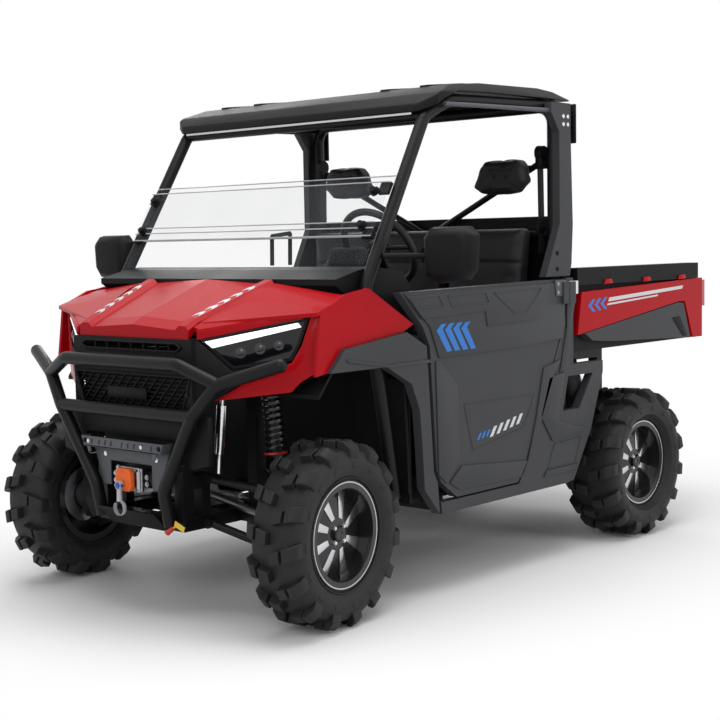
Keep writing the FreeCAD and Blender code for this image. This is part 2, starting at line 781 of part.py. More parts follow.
def make_winch():
    body = new_body("winch_mount")
    face = at(-plate_face)
    back = face + d.plate_thickness
    slab(body, "XZ_Plane", face, back, [
        (-d.plate_low_x, d.plate_low), (d.plate_low_x, d.plate_low),
        (d.plate_top_x, d.plate_top), (-d.plate_top_x, d.plate_top)])
    slot(body, "XZ_Plane", face - d.overrun, back + d.overrun, rectangle(
        -d.window_x, d.window_x, d.plate_low - d.overrun, d.window_top))
    ledge = d.plate_strip / 5
    block(body, -d.plate_low_x, d.plate_low_x, face, at(-d.chassis_front) - d.running_gap,
          d.window_top, d.window_top + ledge)
    for side in (1, -1):
        low = d.window_x if side > 0 else -(d.window_x + ledge)
        block(body, low, low + ledge, face, at(-d.chassis_front) - d.running_gap,
              d.plate_low, d.window_top + ledge)
    block(body, -d.window_x - ledge, d.window_x + ledge, face, at(-d.chassis_front) - d.running_gap,
          d.plate_low, d.plate_low + ledge)
    keep(body, "winch_mount")


def make_winch_drum():
    body = new_body("winch_drum")
    y = at(-(plate_face + d.chassis_front) / 2)
    half = d.window_x - d.running_gap
    round_bar(body, "YZ_Plane", -half, half, y, d.winch_z, d.drum_radius)
    third = half / 3
    round_bar(body, "YZ_Plane", -half, -third, y, d.winch_z, d.motor_radius)
    round_bar(body, "YZ_Plane", third, half, y, d.winch_z, d.motor_radius)
    lead = make_fairlead()
    gathered("winch", [body, lead])


def make_fairlead():
    body = new_body("fairlead")
    face = at(-plate_face) - d.fairlead_depth - d.running_gap
    back = at(-plate_face) - d.running_gap
    low = d.winch_z - d.fairlead_height / 2
    high = d.winch_z + d.fairlead_height / 2
    wall = d.roller_radius
    slab(body, "XZ_Plane", face, back, rectangle(-d.window_x - wall, d.window_x + wall, low, high))
    slot(body, "XZ_Plane", face - d.overrun, back + d.overrun, rectangle(
        -d.stopper_x * 0.6, d.stopper_x * 0.6, low + wall * 2, high - wall * 2))
    return body


def make_hook():
    face = at(-plate_face) - d.fairlead_depth - d.running_gap * 2
    body = new_body("cable_stopper")
    low = d.winch_z - d.stopper_height / 2
    high = d.winch_z + d.stopper_height / 2
    slab(body, "XZ_Plane", face - d.stopper_depth, face,
         rectangle(-d.stopper_x, d.stopper_x, low, high))
    keep(body, "cable_stopper")
    hook = new_body("winch_hook")
    y = at(-d.nose_reach) + d.hook_wire
    round_bar(hook, "XZ_Plane", at(-d.nose_reach), at(-d.nose_reach) + d.hook_wire * 2, zero,
              d.hook_z, d.hook_radius + d.hook_wire)
    bore(hook, "XZ_Plane", at(-d.nose_reach) - d.overrun, y + d.hook_wire + d.overrun, zero,
         d.hook_z, d.hook_radius - d.hook_wire)
    block(hook, -d.hook_wire, d.hook_wire, at(-d.nose_reach), at(-d.nose_reach) + d.hook_wire * 2,
          d.hook_z + d.hook_radius, d.winch_z + d.hook_wire)
    block(hook, -d.hook_wire, d.hook_wire, at(-d.nose_reach),
          face - d.stopper_depth - d.running_gap,
          d.winch_z - d.hook_wire, d.winch_z + d.hook_wire)
    keep(hook, "winch_hook")


lamp_drop_share = 0.62


def make_fascia():
    body = new_body("front_fascia")
    wall = d.fascia_wall
    front = at(-d.fascia_face)
    wing = at(-d.fascia_wing_y)
    wing_top = d.lamp_inner_z - d.lamp_height * lamp_drop_share - d.running_gap
    slab(body, "XY_Plane", d.fascia_bottom, wing_top, [
        (d.fascia_x, front), (d.fascia_wing_x, wing), (d.fascia_wing_x - wall, wing),
        (d.fascia_x - wall / 2, front + wall), (-d.fascia_x + wall / 2, front + wall),
        (-d.fascia_wing_x + wall, wing), (-d.fascia_wing_x, wing), (-d.fascia_x, front)])
    block(body, -d.fascia_x, d.fascia_x, front, front + wall, d.fascia_bottom, fascia_top)
    slot(body, "XZ_Plane", front - d.overrun, front + wall + d.overrun, [
        (-d.grille_low_x, d.grille_low), (d.grille_low_x, d.grille_low),
        (d.grille_top_x, d.grille_top), (-d.grille_top_x, d.grille_top)])
    mid = (d.slot_top + d.slot_low) / 2
    slot(body, "XZ_Plane", front - d.overrun, front + wall + d.overrun, [
        (-d.slot_x, mid), (-d.slot_x + d.slot_tip, d.slot_low), (d.slot_x - d.slot_tip, d.slot_low),
        (d.slot_x, mid), (d.slot_x - d.slot_tip, d.slot_top), (-d.slot_x + d.slot_tip, d.slot_top)])
    keep(body, "front_fascia")


def make_grille():
    body = new_body("grille")
    face = at(-d.fascia_face) + d.running_gap
    back = face + d.grille_depth
    edge = d.mesh_bar * 2
    gap = d.running_gap
    low = d.grille_low + gap
    high = d.grille_top - gap
    slab(body, "XZ_Plane", face, back, [
        (-d.grille_low_x + gap, low), (d.grille_low_x - gap, low),
        (d.grille_top_x - gap * 2, high), (-d.grille_top_x + gap * 2, high)])
    slot(body, "XZ_Plane", face - d.overrun, back + d.overrun, [
        (-d.grille_low_x + edge, low + edge), (d.grille_low_x - edge, low + edge),
        (d.grille_top_x - edge * 1.5, high - edge), (-d.grille_top_x + edge * 1.5, high - edge)])
    for share in (0.25, 0.5, 0.75):
        z = between(low, high, share)
        reach = between(d.grille_low_x, d.grille_top_x, share) - edge
        block(body, -reach, reach, face, back, z - d.mesh_bar / 2, z + d.mesh_bar / 2)
    keep(body, "grille")


lamp_shares = ((0.0, 0.0), (0.12, -0.62), (0.84, -0.62), (0.93, -0.22), (1.0, 0.82), (0.93, 0.86))


def make_headlamps():
    body = new_body("headlamp")
    slab(body, "XZ_Plane", zero, d.lamp_depth, [
        (d.lamp_length * u, d.lamp_height * v) for u, v in lamp_shares])
    place(body, d.lamp_inner_x, at(-d.lamp_inner_y), d.lamp_inner_z, d.lamp_turn)
    two_sided(body, "headlamps")


# Bonnet and wings


def hood_section(half, edge_z, middle_z, low_edge, low_middle):
    """An outline across the bonnet: two ribs over a flat underside."""
    rib = d.rib_width
    rise = d.rib_rise
    left = [(-half, edge_z), (-half + rib / 4, edge_z + rise), (-half + rib, edge_z + rise),
            (-half + rib * 1.4, edge_z)]
    right = [(-u, v) for u, v in reversed(left)]
    return left + [(zero, middle_z)] + right + [(half, low_edge), (zero, low_middle), (-half, low_edge)]


def make_hood():
    body = new_body("hood")
    wall = d.hood_wall
    rise = d.rib_rise
    mid = d.hood_mid_z
    rear = d.hood_rear_z
    loft(body, "XZ_Plane", [
        (at(-d.hood_front), hood_section(d.hood_front_x, d.hood_crease - rise, d.hood_crease,
                                         d.hood_lip, d.hood_lip)),
        (at(-d.hood_mid), hood_section(d.hood_front_x, mid - rise, mid, mid - rise - wall,
                                       mid - wall)),
        (at(d.hood_rear), hood_section(d.hood_rear_x, rear - rise, rear, rear - rise - wall,
                                       rear - wall))])
    keep(body, "hood")


wing_side_shares = (
    (1.000, 0.520), (0.529, 1.000), (0.297, 0.938), (0.129, 0.804), (0.052, 0.719),
    (0.000, 0.000),
)


def make_wings():
    body = new_body("front_wing")
    gap = d.shut_gap
    wall = d.wing_wall

    def section(inner, inner_z, outer, outer_z):
        return [(inner, inner_z), (outer, outer_z), (outer, outer_z - wall), (inner, inner_z - wall)]

    nose_x = d.hood_front_x + gap
    outer = d.wing_x - d.running_gap
    kink_z = d.wing_kink_z
    nose_z = d.hood_mid_z - d.rib_rise
    loft(body, "XZ_Plane", [
        (at(-d.hood_mid), section(nose_x, nose_z, nose_x + wall, nose_z)),
        (at(-d.wing_side_front) + wall, section(
            between(nose_x, d.hood_rear_x + gap, 0.5), between(d.hood_mid_z, d.hood_rear_z, 0.45),
            outer, kink_z - wall * 1.5)),
        (at(d.wing_kink_y), section(
            between(nose_x, d.hood_rear_x + gap, 0.72), between(d.hood_mid_z, d.hood_rear_z, 0.7),
            outer, kink_z)),
        (at(d.hood_rear), section(d.hood_rear_x + gap, d.hood_rear_z - d.rib_rise,
                                  outer, between(kink_z, d.wing_rear_z, 0.5)))])
    edge = [(y, z + d.running_gap * 2) for y, z in flare_outline()[5:8]]
    slab(body, "YZ_Plane", d.wing_x - wall, d.wing_x, edge + spread(
        wing_side_shares, at(-d.wing_side_front), at(d.wing_side_rear), d.wing_side_low,
        d.wing_side_top))
    two_sided(body, "front_wings")


# The flare's rear edge and the side panel's front edge follow the door's edges.
door_front_shares = (
    (0.000, 0.980), (0.120, 0.818), (0.157, 0.729), (0.170, 0.487), (0.187, 0.143),
    (0.208, 0.088), (0.299, 0.000),
)
door_rear_shares = (
    (0.674, 0.000), (0.724, 0.093), (0.809, 0.329), (0.900, 0.540), (0.956, 0.688),
    (1.000, 0.754), (1.000, 1.000), (0.876, 1.000),
)


def door_points(shares, shift=zero):
    return [(y + shift, z) for y, z in spread(shares, at(d.door_front), at(d.door_rear),
                                             d.door_low, d.door_top)]


flare_arch_shares = (
    (0.851, 0.148), (0.836, 0.363), (0.813, 0.577), (0.738, 0.720), (0.501, 0.824),
    (0.000, 0.824), (0.124, 0.933), (0.700, 0.992),
)


def flare_outline():
    rear = door_points(door_front_shares[1:], -d.shut_gap * 2.4)
    arch = spread(flare_arch_shares, at(-d.flare_front), at(d.flare_rear), d.flare_low, d.flare_top)
    foot = [(at(d.flare_rear), d.flare_low)]
    return arch + rear[1:-1] + foot


def make_flares():
    body = new_body("wheel_flare")
    slab(body, "YZ_Plane", d.body_x - d.flare_wall + d.running_gap, d.body_x, flare_outline())
    two_sided(body, "wheel_flares")


liner_outer_shares = (
    (0.000, 0.779), (0.142, 0.938), (0.356, 1.000), (0.840, 0.965), (0.957, 0.779),
    (0.990, 0.319), (1.000, 0.000),
)


def make_liners():
    body = new_body("arch_liner")
    wall = d.floor_wall
    front = at(-d.fascia_wing_y) + d.running_gap
    outer = spread(liner_outer_shares, front, at(d.firewall_y) - d.running_gap,
                   d.side_low + d.rail_size * 2, d.wing_side_low + d.rail_size)
    inner = [(y, z - wall) for y, z in outer[:4]] + [(y - wall, z) for y, z in outer[4:]]
    outside = d.body_x - d.flare_wall
    slab(body, "YZ_Plane", d.shock_x + d.spring_radius, outside, outer + list(reversed(inner)))
    notch = d.pillar_foot_x - d.tube_radius * 2 - d.running_gap
    cut_block(body, notch, outside + d.overrun, at(d.pillar_foot_y), at(d.firewall_y),
              d.wing_side_low - d.rail_size, d.wing_side_low + d.rail_size + d.overrun)
    two_sided(body, "arch_liners")


# Doors and body sides


def make_doors():
    body = new_body("door_left")
    outer = d.body_x
    inner = outer - d.door_thickness
    slab(body, "YZ_Plane", inner, outer, door_points(door_front_shares + door_rear_shares))
    block(body, outer, d.hinge_x + d.hinge_radius / 2, at(d.hinge_y) - d.rail_size,
          at(d.hinge_y) - d.hinge_radius / 2, d.hinge_low, d.hinge_high)
    round_bar(body, "XY_Plane", d.hinge_low, d.hinge_high, d.hinge_x, at(d.hinge_y),
              d.hinge_radius)
    keep(body, "door_left")
    mirrored(body, "door_right")


def make_side_panels():
    body = new_body("side_panel")
    outer = d.body_x
    inner = outer - d.door_thickness
    front = door_points(door_rear_shares[:-2], d.shut_gap)
    sill_z = d.door_low - d.shut_gap
    side_low = d.side_low
    side_front = at(d.flare_rear) + d.shut_gap * 2
    rear = [(at(d.hinge_y) + d.rail_size, d.side_top), (at(d.hinge_y) + d.rail_size, d.rear_rail_top),
            (at(d.side_rear), d.rear_rail_top), (at(d.side_rear), d.rear_rail_top - d.rail_size),
            (at(d.side_rear) - d.rail_size * 2, d.axle_height + d.rail_size * 4),
            (at(d.hinge_y) + d.rail_size, side_low + d.shut_gap), (at(d.hinge_y), side_low)]
    outline = [(side_front, side_low), (side_front - d.shut_gap, sill_z),
               (front[0][0], sill_z)]
    outline += front[1:] + [(front[-1][0], d.side_top)] + rear
    slab(body, "YZ_Plane", inner, outer, outline)
    hole_low = d.axle_height + d.rail_size * 6
    hole_high = d.rear_rail_top - d.rail_size
    slot(body, "YZ_Plane", inner - d.overrun, outer + d.overrun, [
        (at(d.hinge_y) + d.shut_gap, hole_high), (at(d.side_rear) - d.rail_size * 1.7, hole_high),
        (at(d.hinge_y) + d.rail_size * 1.9, hole_low), (at(d.hinge_y) - d.rail_size * 0.7, hole_low)])
    fixed = d.hinge_y + d.hinge_radius + d.running_gap
    block(body, outer, d.hinge_x, at(fixed), at(d.hinge_y) + d.rail_size,
          d.hinge_low, d.hinge_high)
    two_sided(body, "side_panels")


pillar_shares = (
    (0.236, 1.000), (0.236, 0.940), (0.519, 0.834), (0.519, 0.303), (0.094, 0.053),
    (0.000, 0.000), (0.877, 0.000), (0.943, 0.072), (1.000, 0.303), (0.934, 0.850),
    (0.934, 1.000),
)


def make_pillar_covers():
    body = new_body("pillar_cover")
    slab(body, "YZ_Plane", d.post_x - d.pillar_width_x, d.post_x, spread(
        pillar_shares, at(d.post_front), at(d.post_rear), d.post_low + d.shut_gap, d.post_high))
    two_sided(body, "pillar_covers")


# Cab


def make_tub():
    body = new_body("cab_tub")
    half = cab_half
    wall = d.floor_wall
    top = floor_top
    low = top - wall
    front = at(d.firewall_y)
    rear = at(d.rear_wall_y)
    block(body, -half, half, front, rear + wall, low, top)
    block(body, -half, half, front, front + wall, low, d.firewall_top)
    block(body, -half, half, rear, rear + wall, low, d.rear_wall_top)
    keep(body, "cab_tub")


dash_shares = (
    (0.000, 0.800), (0.000, 0.869), (0.292, 0.969), (0.469, 1.000), (0.845, 0.938),
    (1.000, 0.656), (1.000, 0.250), (0.845, 0.000), (0.834, 0.438), (0.292, 0.531),
)


def make_dashboard():
    body = new_body("dashboard")
    slab(body, "YZ_Plane", -d.dash_half, d.dash_half, spread(
        dash_shares, at(d.dash_front), at(d.dash_rear), d.dash_low, d.dash_top))
    keep(body, "dashboard")


def seat_spans():
    gap = d.seat_gap / 2
    return ((-d.seat_half, -d.driver_seat_x - gap), (-d.driver_seat_x + gap, d.driver_seat_x - gap),
            (d.driver_seat_x + gap, d.seat_half))


def make_seats():
    base = new_body("seat_base")
    gap = d.running_gap
    slab(base, "YZ_Plane", -d.seat_half, d.seat_half, [
        (at(d.seat_front) + d.rail_size, floor_top + gap), (at(d.rear_wall_y) - gap, floor_top + gap),
        (at(d.rear_wall_y) - gap, d.seat_low - gap), (at(d.seat_front), d.seat_low - gap)])
    wall = d.floor_wall
    slot(base, "YZ_Plane", -d.seat_half + wall, d.seat_half - wall, [
        (at(d.seat_front) + d.rail_size + wall, floor_top + wall),
        (at(d.rear_wall_y) - wall, floor_top + wall), (at(d.rear_wall_y) - wall, d.seat_low - wall),
        (at(d.seat_front) + wall * 1.2, d.seat_low - wall)])
    keep(base, "seat_base")
    cushion = new_body("seat_cushions")
    back = new_body("seat_back_row")
    foot = at(d.back_foot_y)
    for low, high in seat_spans():
        block(cushion, low, high, at(d.seat_front), at(d.seat_rear), d.seat_low, d.seat_top)
        slab(back, "YZ_Plane", low, high, [
            (foot, d.seat_top + gap), (foot + d.back_depth, d.seat_top + gap),
            (foot + d.back_depth + d.back_lean, d.back_top), (foot + d.back_lean, d.back_top)])
    keep(cushion, "seat_cushions")
    rest = new_body("headrest")
    block(rest, d.headrest_x - d.headrest_half, d.headrest_x + d.headrest_half,
          at(d.headrest_y) - d.headrest_depth, at(d.headrest_y),
          d.headrest_z - d.headrest_height / 2, d.headrest_z + d.headrest_height / 2)
    other = doc.addObject("Part::Mirroring", "headrest_right")
    other.Source = rest
    other.Normal = vector(1, 0, 0)
    gathered("seat_backs", [back, rest, other])


def make_steering():
    tilt = math.radians(float(d.wheel_tilt))
    way = vector(0, math.sin(tilt), math.cos(tilt))
    centre = vector(d.wheel_x, at(d.wheel_y), d.wheel_z)
    hoop = doc.addObject("Part::Torus", "steering_hoop")
    hoop.Radius1 = float(d.wheel_radius)
    bind(hoop, "Radius1", d.wheel_radius)
    hoop.Radius2 = float(d.wheel_grip)
    bind(hoop, "Radius2", d.wheel_grip)
    hoop.Placement = FreeCAD.Placement(centre, FreeCAD.Rotation(vector(0, 0, 1), way))
    across = vector(1, 0, 0) * float(d.wheel_radius)
    down = way.cross(vector(1, 0, 0)) * float(d.wheel_radius)
    hub_back = centre - way * float(d.column_radius)
    pieces = [hoop, rod(hub_back, centre + way * float(d.wheel_grip), d.column_radius * 1.6)]
    for spoke in (across, across * -1, down):
        pieces.append(rod(centre, centre + spoke, d.wheel_grip * 0.6))
    pieces.append(rod(centre - way * float(d.column_length), centre, d.column_shaft))
    fused("steering_wheel", pieces)
    top = centre - way * float(d.column_radius * 2)
    foot = top - way * float(d.column_length)
    bush = doc.addObject("Part::Cut", "column_tube")
    bush.Base = rod(foot, top, d.column_radius)
    bush.Tool = rod(foot - way, top + way, d.column_shaft + d.running_gap)
    cowl = nodes.pop("dashboard")
    clear = doc.addObject("Part::Cut", "dash_panel")
    clear.Base = cowl
    clear.Tool = rod(foot - way, top, d.column_radius)
    cowl.Label = "dash_block"
    fused("dashboard", [clear, bush])


# Cage, roof and screen


def make_cage():
    bend = d.tube_radius * 3
    pieces = []
    foot = (d.pillar_foot_x - d.tube_radius, at(d.cage_foot_y) - d.tube_radius,
            rail_top + d.tube_radius)
    elbow = (d.pillar_foot_x, at(d.pillar_foot_y), d.pillar_foot_z)
    top = (d.pillar_top_x, at(d.pillar_top_y), d.pillar_top_z)
    front = (d.rail_top_x, at(d.rail_front_y), d.rail_front_z)
    corner = (d.rail_top_x, at(d.hoop_y), d.rail_rear_z)
    hoop_top = (d.hoop_x, at(d.hoop_y), d.rail_rear_z)
    hoop_foot = (d.hoop_x, at(d.hoop_y), floor_top + d.running_gap)
    for flip in (lambda point: point, flipped):
        route = [flip(point) for point in (foot, elbow, top, front, corner)]
        pieces.append(tube(route, d.tube_radius, bend))
    pieces.append(tube([hoop_foot, hoop_top, flipped(hoop_top), flipped(hoop_foot)],
                       d.tube_radius, bend))
    pieces.append(rod(top, flipped(top), d.tube_radius * 0.8))
    low = (zero, at(d.hoop_y), d.back_top - d.rail_size)
    side = (d.hoop_x, at(d.hoop_y), d.headrest_z + d.rail_size)
    pieces += two_rods(low, side, d.brace_radius)
    belt = (d.hoop_x, at(d.hoop_y), d.back_top - d.rail_size)
    pieces.append(rod(belt, flipped(belt), d.brace_radius * 1.2))
    stay = (d.headrest_x, at(d.hoop_y), d.headrest_z)
    for flip in (lambda point: point, flipped):
        back = (d.headrest_x, at(d.headrest_y) + d.running_gap, d.headrest_z)
        pieces.append(rod(flip(back), flip(stay), d.brace_radius * 0.8))
        edge = (d.hoop_x, at(d.hoop_y), d.headrest_z)
        pieces.append(rod(flip(stay), flip(edge), d.brace_radius * 0.7))
    fused("roll_cage", pieces)


roof_profile_shares = (
    (0.000, 0.013), (0.010, 0.233), (0.064, 0.520), (0.175, 0.787), (0.399, 0.933),
    (0.823, 1.000), (0.921, 0.933), (0.990, 0.733), (1.000, 0.667), (0.951, 0.667),
    (0.823, 0.680), (0.399, 0.653), (0.192, 0.600), (0.103, 0.373), (0.044, 0.150), (0.012, 0.013),
)


def make_roof():
    body = new_body("roof")
    slab(body, "YZ_Plane", -d.roof_half, d.roof_half, spread(
        roof_profile_shares, at(d.roof_front), at(d.roof_rear), d.roof_low, d.roof_high))
    keep(body, "roof")


def make_screen():
    body = new_body("windscreen")
    face = d.tube_radius + d.running_gap
    out = face + d.screen_wall
    half = d.screen_half + d.tube_radius
    slab(body, "XZ_Plane", -out, -face, rectangle(-half, half, d.screen_low, d.screen_high))
    flip_face = out + d.flip_gap
    slab(body, "XZ_Plane", -flip_face - d.screen_wall, -flip_face, rectangle(
        -half, half, d.flip_low, d.flip_high))
    base = vector(0, at(d.pillar_foot_y), d.pillar_foot_z)
    back = float(d.pillar_top_y - d.pillar_foot_y)
    rise = float(d.pillar_top_z - d.pillar_foot_z)
    rake = FreeCAD.Rotation(vector(1, 0, 0), -math.degrees(math.atan2(back, rise)))
    body.Placement = FreeCAD.Placement(base, rake)
    bind(body, "Placement.Base.y", at(d.pillar_foot_y))
    bind(body, "Placement.Base.z", d.pillar_foot_z)
    keep(body, "windscreen")
    clamps = new_body("screen_clamps")
    gap = d.running_gap
    for side in (1, -1):
        near = half - d.rail_size if side > 0 else -half
        for low in (d.flip_low, d.flip_high - d.rail_size):
            slab(clamps, "XZ_Plane", -flip_face + gap, -out - gap, rectangle(
                near, near + d.rail_size, low, low + d.rail_size))
    clamps.Placement = body.Placement
    keep(clamps, "screen_clamps")


def make_mirrors():
    shell = new_body("mirror_shell")
    half = d.mirror_width / 2
    tall = d.mirror_height / 2
    block(shell, d.mirror_x - half, d.mirror_x + half, at(d.mirror_y) - d.mirror_depth / 2,
          at(d.mirror_y) + d.mirror_depth / 2, d.mirror_z - tall, d.mirror_z + tall)
    inner = (d.mirror_x - half + d.mirror_arm, at(d.mirror_y), d.mirror_z)
    share = (d.mirror_z - d.pillar_foot_z) / (d.pillar_top_z - d.pillar_foot_z)
    root = (between(d.pillar_foot_x, d.pillar_top_x, share) + d.tube_radius * 1.2,
            at(between(d.pillar_foot_y, d.pillar_top_y, share)), d.mirror_z)
    arm = rod(root, inner, d.mirror_arm)
    pod = doc.addObject("Part::MultiFuse", "mirror")
    pod.Shapes = [shell, arm]
    two_sided(pod, "mirrors")


# Drive train


def make_engine():
    body = new_body("engine_block")
    slab(body, "YZ_Plane", -d.engine_half, d.engine_half, [
        (at(d.engine_front), d.engine_low), (at(d.engine_rear) - d.rail_size, d.engine_low),
        (at(d.engine_rear), d.engine_low + d.rail_size), (at(d.engine_rear), d.engine_high - d.rail_size),
        (at(d.engine_rear) - d.rail_size * 2, d.engine_high),
        (at(d.engine_front) + d.rail_size, d.engine_high),
        (at(d.engine_front), d.engine_high - d.rail_size)])
    keep(body, "engine_block")


def make_exhaust():
    y = at(d.muffler_y)
    z = d.muffler_z
    half = d.muffler_half
    can = rod((-half, y, z), (half, y, z), d.muffler_radius)
    start = (zero, at(d.engine_rear) + d.running_gap, z)
    pipe = rod(start, (zero, y, z), d.pipe_radius)
    tail = rod((half / 2, y, z), (half / 2, y + d.muffler_radius * 1.5, z), d.pipe_radius)
    fused("exhaust", [can, pipe, tail])


def make_radiator():
    body = new_body("radiator")
    back = at(-d.radiator_y)
    block(body, -d.radiator_half, d.radiator_half, back - d.radiator_depth, back,
          d.radiator_low + d.running_gap, d.radiator_high)
    keep(body, "radiator")


def make_rack():
    """The rack bar slides in its housing and carries both tie rods."""
    shift = -d.steer_arm * math.sin(math.radians(float(d.steer_rest)))
    y = at(d.steer_arm)
    z = d.rack_z
    housing = doc.addObject("Part::Cut", "rack_housing")
    housing.Base = rod((-d.rack_half, y, z), (d.rack_half, y, z), d.rack_radius)
    reach = d.rack_half + d.overrun
    housing.Tool = rod((-reach, y, z), (reach, y, z), d.tie_rod_radius + d.running_gap)
    keep(housing, "rack_housing")
    left = (shift + d.kingpin_x, y, z)
    right = (shift - d.kingpin_x, y, z)
    keep(rod(right, left, d.tie_rod_radius), "tie_rods")


# Cargo bed


bed_side_shares = (
    (0.000, 0.253), (0.030, 0.894), (0.981, 1.000), (1.000, 1.000), (1.000, 0.000),
    (0.917, 0.000), (0.847, 0.621), (0.795, 0.632),
)
bed_trim_shares = (
    (0.000, 0.405), (0.858, 0.930), (0.911, 0.900), (0.980, 0.000), (0.702, 0.063),
    (0.266, 0.142), (0.178, 0.168), (0.061, 0.221),
)


def make_bed():
    body = new_body("cargo_bed")
    half = d.bed_half
    wall = d.bed_wall
    front = at(d.bed_front)
    rear = at(d.bed_rear) - d.tailgate_wall - d.shut_gap
    floor = d.bed_floor
    block(body, -half, half, front, rear, floor - d.bed_floor_wall, floor)
    block(body, -half, half, front, front + wall, floor, d.bed_top)
    for side in (1, -1):
        low = half - wall if side > 0 else -half
        block(body, low, low + wall, front, rear, floor, d.bed_top)
        cap_low = half if side > 0 else -d.bed_skin_x
        block(body, cap_low, cap_low + d.bed_skin_x - half, front, rear,
              d.bed_skin_top + d.running_gap, d.bed_top)
    hinge = at(d.bed_hinge_y)
    inner = d.tower_x - d.rail_size / 2 - d.running_gap
    for side in (1, -1):
        low = inner - d.bed_floor_wall if side > 0 else -inner
        slab(body, "YZ_Plane", low, low + d.bed_floor_wall, [
            (hinge - d.bed_rib, d.bed_floor - d.bed_floor_wall), (hinge - d.ball_radius, d.bed_hinge_z - d.ball_radius),
            (hinge + d.ball_radius, d.bed_hinge_z - d.ball_radius), (hinge + d.bed_rib, d.bed_floor - d.bed_floor_wall)])
        pin_low = low if side > 0 else low - d.rail_size
        round_bar(body, "YZ_Plane", pin_low, pin_low + d.rail_size + d.bed_floor_wall, hinge, d.bed_hinge_z,
                  d.ball_radius / 2 - d.running_gap)
    keep(body, "cargo_bed")


gate_y = at(d.bed_rear) - d.tailgate_wall / 2


def make_bed_skins():
    body = new_body("bed_side")
    gap = d.running_gap
    inner = d.bed_half + gap
    rear = at(d.bed_rear)
    slab(body, "YZ_Plane", inner, d.bed_skin_x, spread(
        bed_side_shares, at(d.bed_front), rear, d.bed_skin_low, d.bed_skin_top))
    bore(body, "YZ_Plane", inner - d.overrun, inner + d.bed_floor_wall, gate_y,
         d.tailgate_hinge_z, d.hinge_radius + d.running_gap)
    two_sided(body, "bed_sides")
    trim = new_body("bed_side_trim")
    slab(trim, "YZ_Plane", inner, d.bed_skin_x - gap, spread(
        bed_trim_shares, at(d.bed_front) + d.bed_rib * 1.5, at(d.bed_rear) - d.rail_size * 2,
        d.bed_skin_low, d.bed_skin_top - d.rail_size * 2))
    two_sided(trim, "bed_trims")


def make_tailgate():
    body = new_body("tailgate")
    rear = at(d.bed_rear)
    wall = d.tailgate_wall
    half = d.bed_half - d.bed_wall / 2 - d.shut_gap
    block(body, -half, half, rear - wall, rear, d.tailgate_hinge_z - d.hinge_radius, d.tailgate_top)
    pin = d.bed_half + d.bed_floor_wall - d.running_gap
    round_bar(body, "YZ_Plane", -pin, pin, gate_y, d.tailgate_hinge_z, d.hinge_radius)
    keep(body, "tailgate")


def make_rear_fittings():
    bar = new_body("hitch_receiver")
    half = d.receiver_size / 2
    rear = at(d.receiver_rear)
    front = rear - d.receiver_length
    block(bar, -half, half, front, rear, receiver_z - half, receiver_z + half)
    hole = d.receiver_bore / 2
    cut_block(bar, -hole, hole, front + d.floor_wall, rear + d.overrun, receiver_z - hole,
              receiver_z + hole)
    pin_y = rear - d.receiver_size
    bore(bar, "YZ_Plane", -half - d.overrun, half + d.overrun, pin_y, receiver_z, d.pin_radius)
    keep(bar, "hitch_receiver")
    lamp = new_body("tail_lamp")
    edge = d.bed_half - d.bed_wall / 2
    block(lamp, edge, d.bed_skin_x - d.overrun, at(d.bed_rear) + d.running_gap,
          at(d.wheelbase + d.tail_reach), d.tailgate_top - d.lamp_tall - d.rail_size,
          d.tailgate_top - d.rail_size)
    two_sided(lamp, "tail_lamps")
    duct_x = d.bed_half - d.duct_radius
    under = d.bed_floor - d.bed_floor_wall - d.duct_radius
    duct = tube([(duct_x, at(d.rear_wall_y) + d.duct_radius * 1.7, under),
                 (duct_x, at(d.engine_front) + d.duct_radius * 2, d.engine_high - d.duct_radius * 3),
                 (d.engine_half + d.running_gap, at(d.engine_front) + d.duct_radius * 2,
                  d.engine_high - d.duct_radius * 3)],
                d.duct_radius, d.duct_radius * 1.6)
    keep(duct, "intake_duct")
    strut_x = d.tower_x + d.rail_size / 2 + d.strut_radius + d.running_gap
    strut = rod((strut_x, rear_y - d.shock_y, d.upper_arm_z + d.rail_size),
                (strut_x, at(d.engine_front) + d.rail_size * 2.5, d.bed_floor - d.bed_rib),
                d.strut_radius)
    keep(strut, "bed_strut")


def check(thing):
    for state in thing.State:
        if state in ("Invalid", "Error"):
            raise RuntimeError(f"{thing.Name} is {state}")


def write_parts():
    doc.recompute()
    for thing in doc.Objects:
        check(thing)
    os.makedirs("parts", exist_ok=True)
    for name, thing in nodes.items():
        shape = thing.Shape
        if shape.isNull() or not shape.isValid():
            raise RuntimeError(name + " has no valid shape")
        shape.exportStep(f"parts/{name}.step")


def main():
    for make in (make_wheels, make_knuckles, make_arms, make_shocks, make_driveline,
                 make_chassis, make_skid, make_bumper, make_winch, make_winch_drum,
                 make_hook, make_fascia, make_grille, make_headlamps,
                 make_hood, make_wings, make_flares, make_liners, make_doors,
                 make_side_panels, make_pillar_covers, make_tub, make_dashboard, make_seats,
                 make_steering, make_cage, make_roof, make_screen, make_mirrors, make_engine,
                 make_exhaust, make_radiator, make_rack, make_bed, make_bed_skins,
                 make_tailgate, make_rear_fittings):
        make()
    write_parts()


main()
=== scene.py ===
import bmesh
import bpy
import json
import math
from mathutils import Matrix, Vector


